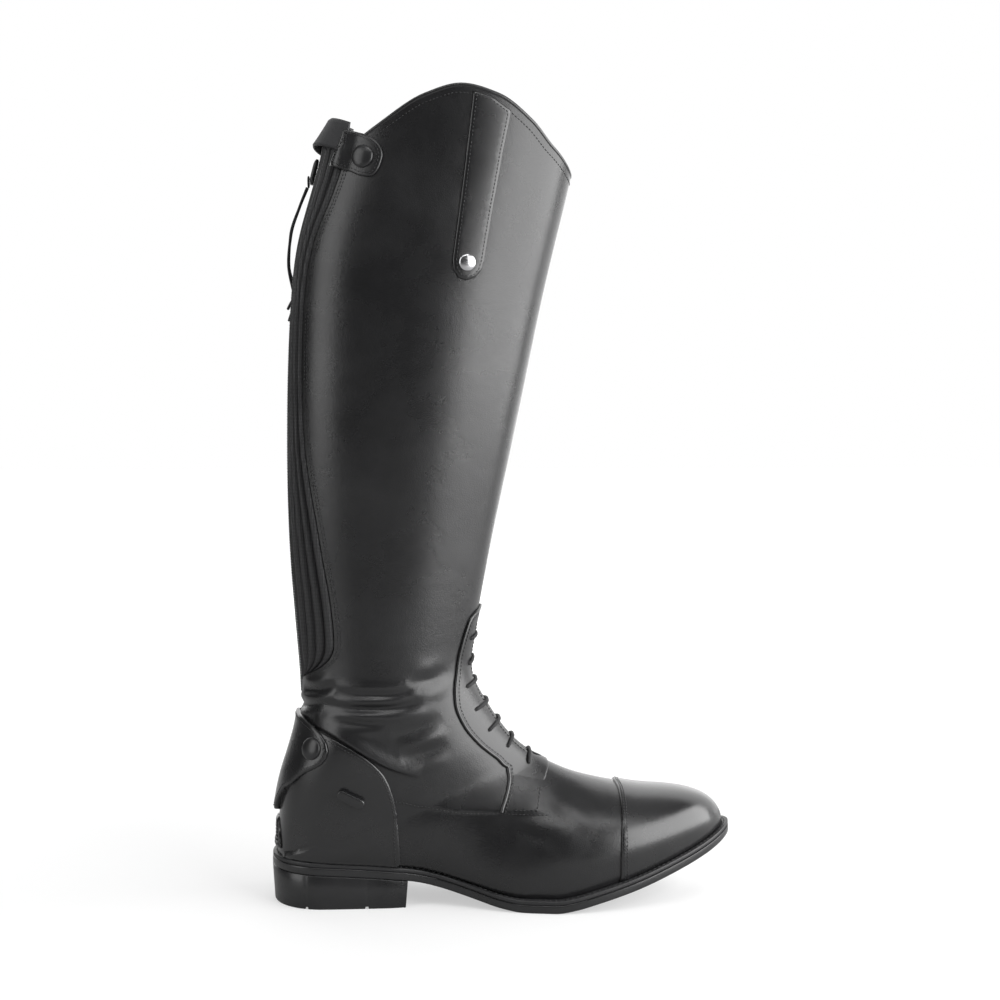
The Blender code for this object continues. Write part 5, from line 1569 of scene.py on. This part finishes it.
# small hard pieces: snaps, stud and spur rests; levels as scale and height
hardForm = {
    "strapSnap": (59.4, 454.8),
    "flapSnap": (28.0, 99.0),
    "snapRadius": 6.8,
    "stud": (120.5, 392.6),
    "studRadius": 5.2,
    "spurRest": (50.5, 70.5),
    "spurLong": 18.0,
    "spurHigh": 6.0,
    "spurLean": 27.0,
    "overlayTop": 1.5,
    "flapTop": 3.1,
    "snapLevels": (
        (1.0, -0.4), (1.0, 0.6), (0.98, 0.9), (0.93, 1.2), (0.85, 1.5), (0.72, 1.85), (0.55, 2.15),
        (0.35, 2.4), (0.15, 2.5),
    ),
    "studLevels": (
        (1.0, -0.4), (1.0, 0.3), (0.96, 0.7), (0.85, 1.1), (0.65, 1.5), (0.4, 1.75), (0.15, 1.85),
    ),
    "spurLevels": ((1.0, -1.6), (1.0, 3.3), (0.985, 3.6), (0.95, 3.85), (0.88, 4.0), (0.45, 4.05)),
}


def addHardware():
    snap, stud = disc(hardForm["snapRadius"]), disc(hardForm["studRadius"])
    jobs = (("strapSnap", "strap_snap", "overlayTop", snap, "snapLevels", snapEnamel, "snap_enamel"),
            ("flapSnap", "flap_snap", "flapTop", snap, "snapLevels", snapEnamel, "snap_enamel"),
            ("stud", "side_stud", "overlayTop", stud, "studLevels", studMetal, "stud_metal"))
    for name, node, lift, outline, levels, finish, slotName in jobs:
        place = last.fromSide(*hardForm[name], lateral)
        points, faces = ringMesh(bossRings(place, hardForm[lift], outline, hardForm[levels]))
        addPiece(name, points, faces, finish, (node,))
    outline = roundedBox(hardForm["spurLong"], hardForm["spurHigh"], hardForm["spurHigh"] / 2 - 0.01)
    for name, node, side in (("spurRestLateral", "spur_rest_lateral", lateral),
                             ("spurRestMedial", "spur_rest_medial", medial)):
        place = last.fromSide(*hardForm["spurRest"], side)
        rings = bossRings(place, hardForm["overlayTop"], outline, hardForm["spurLevels"],
                          side * math.radians(hardForm["spurLean"]))
        points, faces = ringMesh(rings)
        addPiece(name, points, faces, polished, (node,))


addHardware()
print("hardware ready")


# stitches and zip teeth, laid along routes by Geometry Nodes
stitchForm = {
    "pitch": 2.3,
    "size": (0.85, 0.3, 0.26),
    "lift": 0.12,
    "capRows": (1.7, 3.7),
    "counterRows": (1.8,),
    "facingRows": (2.3,),
    "stayRows": (1.6, 3.4),
    "throatRow": 2.2,
    "throatPoints": 60,
    "throatSkip": 4,
    "seamSkip": 3,
    "edgeRow": 2.0,
    "panelRows": (2.2, 4.0),
    "panelSpan": (458, 143, 200),
    "collarRow": 4.6,
    "quarterRow": 1.6,
    "weltRow": 2.6,
    "weltSize": (1.3, 0.45, 0.35),
    "weltPitch": 3.4,
    # short rows of tight stitches as x, z on both sides
    "tacks": (((166.4, 70.5), (165.2, 64.5), (163.6, 58.6)), ((150.5, 59.4), (157.0, 59.2), (163.2, 59.0))),
    "tackLift": 0.3,
    "tackStep": 1.0,
    "quarterStep": 2.0,
    "loopStep": 1.6,
}


def wireTree(name):
    tree = bpy.data.node_groups.new(name, "GeometryNodeTree")
    sockets = {}
    inputs = (("Geometry", "NodeSocketGeometry"), ("Pitch", "NodeSocketFloat"), ("Size", "NodeSocketVector"),
              ("Finish", "NodeSocketMaterial"))
    for label, kind in inputs:
        sockets[label] = tree.interface.new_socket(label, in_out="INPUT", socket_type=kind).identifier
    tree.interface.new_socket("Geometry", in_out="OUTPUT", socket_type="NodeSocketGeometry")
    nodes, links = tree.nodes, tree.links
    start, end = nodes.new("NodeGroupInput"), nodes.new("NodeGroupOutput")
    curve = nodes.new("GeometryNodeMeshToCurve")
    even = addNode(nodes, "GeometryNodeResampleCurve", mode="LENGTH")
    bead = addNode(nodes, "GeometryNodeMeshUVSphere", Segments=8, Rings=5, Radius=1.0)
    shaped = nodes.new("GeometryNodeTransform")
    tangent = nodes.new("GeometryNodeInputTangent")
    upward = addNode(nodes, "GeometryNodeInputNamedAttribute", data_type="FLOAT_VECTOR", Name="upward")
    lengthwise = addNode(nodes, "FunctionNodeAlignRotationToVector", axis="X")
    upright = addNode(nodes, "FunctionNodeAlignRotationToVector", axis="Z", pivot_axis="X")
    laid = nodes.new("GeometryNodeInstanceOnPoints")
    smooth = nodes.new("GeometryNodeSetShadeSmooth")
    real = nodes.new("GeometryNodeRealizeInstances")
    finish = nodes.new("GeometryNodeSetMaterial")
    links.new(start.outputs["Geometry"], curve.inputs["Mesh"])
    links.new(curve.outputs["Curve"], even.inputs["Curve"])
    links.new(start.outputs["Pitch"], even.inputs["Length"])
    links.new(bead.outputs["Mesh"], shaped.inputs["Geometry"])
    links.new(start.outputs["Size"], shaped.inputs["Scale"])
    links.new(tangent.outputs["Tangent"], lengthwise.inputs["Vector"])
    links.new(lengthwise.outputs["Rotation"], upright.inputs["Rotation"])
    links.new(upward.outputs["Attribute"], upright.inputs["Vector"])
    links.new(even.outputs["Curve"], laid.inputs["Points"])
    links.new(shaped.outputs["Geometry"], smooth.inputs["Geometry"])
    links.new(smooth.outputs["Geometry"], laid.inputs["Instance"])
    links.new(upright.outputs["Rotation"], laid.inputs["Rotation"])
    links.new(laid.outputs["Instances"], real.inputs["Geometry"])
    links.new(real.outputs["Geometry"], finish.inputs["Geometry"])
    links.new(start.outputs["Finish"], finish.inputs["Material"])
    links.new(finish.outputs["Geometry"], end.inputs["Geometry"])
    return tree, sockets


beadTree, beadSockets = wireTree("beadsAlongRoute")


def beadPiece(name, routes, pitch, size, finish, nodes=()):
    points = np.concatenate([route for route, _ in routes])
    upward = np.concatenate([normal for _, normal in routes])
    edges, start = [], 0
    for route, _ in routes:
        edges += [(start + i, start + i + 1) for i in range(len(route) - 1)]
        start += len(route)
    guide = bpy.data.meshes.new(name + "Guide")
    guide.from_pydata(placed(points).tolist(), edges, [])
    guide.attributes.new("upward", "FLOAT_VECTOR", "POINT").data.foreach_set("vector", upward.ravel())
    thing = bpy.data.objects.new(name, guide)
    bpy.context.scene.collection.objects.link(thing)
    modifier = thing.modifiers.new("beads", "NODES")
    modifier.node_group = beadTree
    modifier[beadSockets["Pitch"]] = pitch * millimetre
    modifier[beadSockets["Size"]] = [value * millimetre for value in size]
    modifier[beadSockets["Finish"]] = finish
    ready = thing.evaluated_get(bpy.context.evaluated_depsgraph_get())
    made = bpy.data.meshes.new_from_object(ready)
    thing.modifiers.clear()
    made.name = name
    thing.data = made
    return settle(thing, nodes)


def onSkin(places, lift, soft=1.0):
    places = np.array(places, float)
    return skinAt(places, lift, soft), last.base(places[:, 0], places[:, 1])[1]


def besideLine(places, gap, fromBack=False):
    places = np.array(places, float)
    flat = offsetLine(last.flat(places[:, 0], places[:, 1], fromBack), gap, False)
    return list(zip(*last.unflat(flat, fromBack)))


def insideLoop(loop, gap, fromBack=False):
    loop = denseLoop(loop, stitchForm["loopStep"], fromBack)
    flat = last.flat(loop[:, 0], loop[:, 1], fromBack)
    for sign in (-1, 1):
        line = offsetLine(flat, sign * gap, True)
        keep = inside(line, [flat])
        if keep.mean() > 0.5:
            line = line[keep & (edgeGap(line, [flat]) > 0.9 * gap)]
            return list(zip(*last.unflat(np.concatenate([line, line[:1]]), fromBack)))
    return []


def bothSides(places):
    return [places, mirrored(places)]


def laceRows(top):
    seam = facingSide()[stitchForm["seamSkip"]:]
    rows = []
    for gap in stitchForm["facingRows"]:
        rows += [onSkin(places, top) for places in bothSides(besideLine(seam, -gap))]
    count, skip = stitchForm["throatPoints"], stitchForm["throatSkip"]
    throat = throatLoop(stitchForm["throatRow"], count)
    return rows + [onSkin(half[skip:-skip], top) for half in (throat[:count], throat[count:])]


def panelRows(side):
    z = np.linspace(*stitchForm["panelSpan"])
    wide = tableCurve(upperForm["panelEdge"], z)
    rows = [backPoints(zip(z, wide + gap), side) for gap in stitchForm["panelRows"]]
    return [onSkin(places, stitchForm["lift"]) for places in rows]


def darkRows():
    lift, edge = stitchForm["lift"], stitchForm["edgeRow"]
    top = overlayForm["low"] + overlayForm["thick"] + lift
    second = overlayForm["secondLow"] + overlayForm["secondThick"] + lift
    seam = capSeam()
    whole = mirrored(seam) + seam[1:]
    rows = [onSkin(besideLine(whole, -gap), top, overlayForm["capSoft"]) for gap in stitchForm["capRows"]]
    seam = counterSeam()[:-stitchForm["seamSkip"]]
    for gap in stitchForm["counterRows"]:
        sides = bothSides(besideLine(seam, gap, True))
        rows += [onSkin(places, top, 0.0) for places in sides]
    rows += laceRows(overlayForm["low"] + overlayForm["facingThick"] + lift)
    rows.append(onSkin(insideLoop(sidePoints(overlayForm["sideStrap"], lateral), edge), top))
    places = np.array(insideLoop(flapLoop(), edge, True))
    rows.append(onSkin(places, flapLift(places[:, 0], places[:, 1], second), 0.0))
    stay = backPoints(overlayForm["backStay"])
    rows += [onSkin(insideLoop(stay, gap, True), second, 0.0) for gap in stitchForm["stayRows"]]
    for side in (lateral, medial):
        places = np.array(insideLoop(tabLoop(side), edge))
        rows.append(onSkin(places, overBand(places[:, 0], places[:, 1], top)))
        rows += panelRows(side)
    return rows + [onSkin(besideLine(collarLine(), stitchForm["collarRow"]), lift)]


def quarterRows():
    lift = stitchForm["lift"]
    seam = rounded(sidePoints(foldForm["lips"][1][3], lateral), stitchForm["quarterStep"])
    rows = [onSkin(places, lift) for places in bothSides(besideLine(seam, stitchForm["quarterRow"]))]
    for tack in stitchForm["tacks"]:
        sides = bothSides(rounded(sidePoints(tack, lateral), stitchForm["tackStep"]))
        rows += [onSkin(places, lift + stitchForm["tackLift"]) for places in sides]
    return rows


def weltRow():
    ring = offsetLine(outlineRing(), stitchForm["weltRow"], True)
    high = soleBottom(ring[:, 0]) + soleForm["outsole"] + soleForm["gap"] + soleForm["welt"]
    ring = np.column_stack([ring, high])
    ring = np.concatenate([ring, ring[:1]])
    return ring, np.tile((0.0, 0.0, 1.0), (len(ring), 1))


def addStitches():
    pitch, size = stitchForm["pitch"], stitchForm["size"]
    dark, quarter = darkRows(), quarterRows()
    beadPiece("darkStitches", dark, pitch, size, darkThread)
    beadPiece("quarterStitches", quarter, pitch, size, darkThread)
    beadPiece("weltStitches", [weltRow()], stitchForm["weltPitch"], stitchForm["weltSize"], darkThread)
    print("stitch rows", len(dark) + len(quarter) + 1)


toothForm = {
    "pitch": 1.7,
    "size": (0.55, 1.5, 0.7),
    "half": 1.2,
    "lift": 0.2,
    "top": 441.0,
    "bottom": 131.0,
    "points": 160,
}


def addTeeth():
    z = np.linspace(toothForm["top"], toothForm["bottom"], toothForm["points"])
    rows = []
    for side, shift in ((lateral, 0.0), (medial, toothForm["pitch"] / 2)):
        places = [last.fromBack(at - shift, side * toothForm["half"]) for at in z]
        rows.append(onSkin(places, toothForm["lift"], 0.0))
    beadPiece("zipTeeth", rows, toothForm["pitch"], toothForm["size"], zipPlastic,
              ("zip_teeth",))


addStitches()
addTeeth()
print("stitches and teeth ready")


# pale floor whose glow is dimmer near the boot as painted shade, soft studio light
studioForm = {
    "floor": 0.42,
    "floorHalf": 9.0,
    "floorRough": 0.9,
    "speckle": 0.985,
    # floor glow seen by the camera, dim near the boot as painted shade and full far out, and the distances it
    # rises over
    "floorGlowPaintedShade": (0.5, 1.0),
    "paintedShadeReach": (0.25, 1.3),
    "sky": 0.08,
    "backdrop": 1.0,
    # place, aim, width, height, power
    "lamps": (
        ((1.2, -0.5, 0.5), (0.0, 0.0, 0.28), 2.0, 1.6, 58.0),
        ((-1.25, -0.7, 0.8), (-0.05, 0.0, 0.3), 0.8, 1.6, 9.0),
        ((0.0, 0.3, 2.4), (0.0, 0.0, 0.0), 3.0, 3.0, 9.0),
        ((0.1, -1.0, 1.9), (0.0, 0.0, 0.15), 1.6, 0.4, 9.0),
        ((0.75, 1.05, 0.65), (0.05, 0.0, 0.2), 1.8, 1.4, 12.0),
        ((-0.6, 1.5, 0.9), (0.0, 0.0, 0.3), 1.6, 1.6, 14.0),
    ),
}


def addFloor():
    made, nodes, links, shader = startMaterial("studioPaper")
    place = nodes.new("ShaderNodeTexCoord").outputs["Object"]
    speckle = addNode(nodes, "ShaderNodeTexNoise", Scale=60.0, Detail=3.0)
    links.new(place, speckle.inputs["Vector"])
    tones = nodes.new("ShaderNodeValToRGB")
    low, high = tones.color_ramp.elements
    low.color = (studioForm["floor"] * studioForm["speckle"],) * 3 + (1,)
    high.color = (studioForm["floor"],) * 3 + (1,)
    links.new(speckle.outputs["Fac"], tones.inputs["Fac"])
    links.new(tones.outputs["Color"], shader.inputs["Base Color"])
    shader.inputs["Roughness"].default_value = studioForm["floorRough"]
    # the floor glows for camera rays only and less near the boot: painted shade around the boot, fading to an
    # evenly white floor further out
    far = addNode(nodes, "ShaderNodeVectorMath", operation="LENGTH")
    links.new(place, far.inputs[0])
    near, end = studioForm["paintedShadeReach"]
    dim, bright = studioForm["floorGlowPaintedShade"]
    paintedShadeGlow = addNode(nodes, "ShaderNodeMapRange", interpolation_type="SMOOTHSTEP", From_Min=near, From_Max=end,
                   To_Min=dim, To_Max=bright)
    links.new(far.outputs["Value"], paintedShadeGlow.inputs["Value"])
    seen = addNode(nodes, "ShaderNodeMath", operation="MULTIPLY")
    links.new(paintedShadeGlow.outputs["Result"], seen.inputs[0])
    links.new(nodes.new("ShaderNodeLightPath").outputs["Is Camera Ray"], seen.inputs[1])
    links.new(seen.outputs[0], shader.inputs["Emission Strength"])
    shader.inputs["Emission Color"].default_value = (1, 1, 1, 1)
    mesh = bpy.data.meshes.new("studioFloor")
    wide = studioForm["floorHalf"]
    corners = [(-wide, -wide, 0), (wide, -wide, 0), (wide, wide, 0), (-wide, wide, 0)]
    mesh.from_pydata(corners, [], [(0, 1, 2, 3)])
    mesh.materials.append(made)
    floor = bpy.data.objects.new("studioFloor", mesh)
    bpy.context.scene.collection.objects.link(floor)


def addStudio():
    addFloor()
    world = bpy.data.worlds.new("studioSky")
    bpy.context.scene.world = world
    world.use_nodes = True
    nodes, links = world.node_tree.nodes, world.node_tree.links
    seen = nodes.new("ShaderNodeLightPath")
    strength = addNode(nodes, "ShaderNodeMapRange", To_Min=studioForm["sky"], To_Max=studioForm["backdrop"])
    links.new(seen.outputs["Is Camera Ray"], strength.inputs["Value"])
    nodes["Background"].inputs["Color"].default_value = (1, 1, 1, 1)
    links.new(strength.outputs["Result"], nodes["Background"].inputs["Strength"])
    for number, (at, aim, wide, tall, power) in enumerate(studioForm["lamps"], 1):
        data = bpy.data.lights.new(f"softbox{number}", "AREA")
        data.shape, data.size, data.size_y, data.energy = "RECTANGLE", wide, tall, power
        pointAt(bpy.data.objects.new(f"softbox{number}", data), at, aim)
    bpy.context.scene.view_settings.view_transform = "Standard"


addStudio()
print("studio ready")
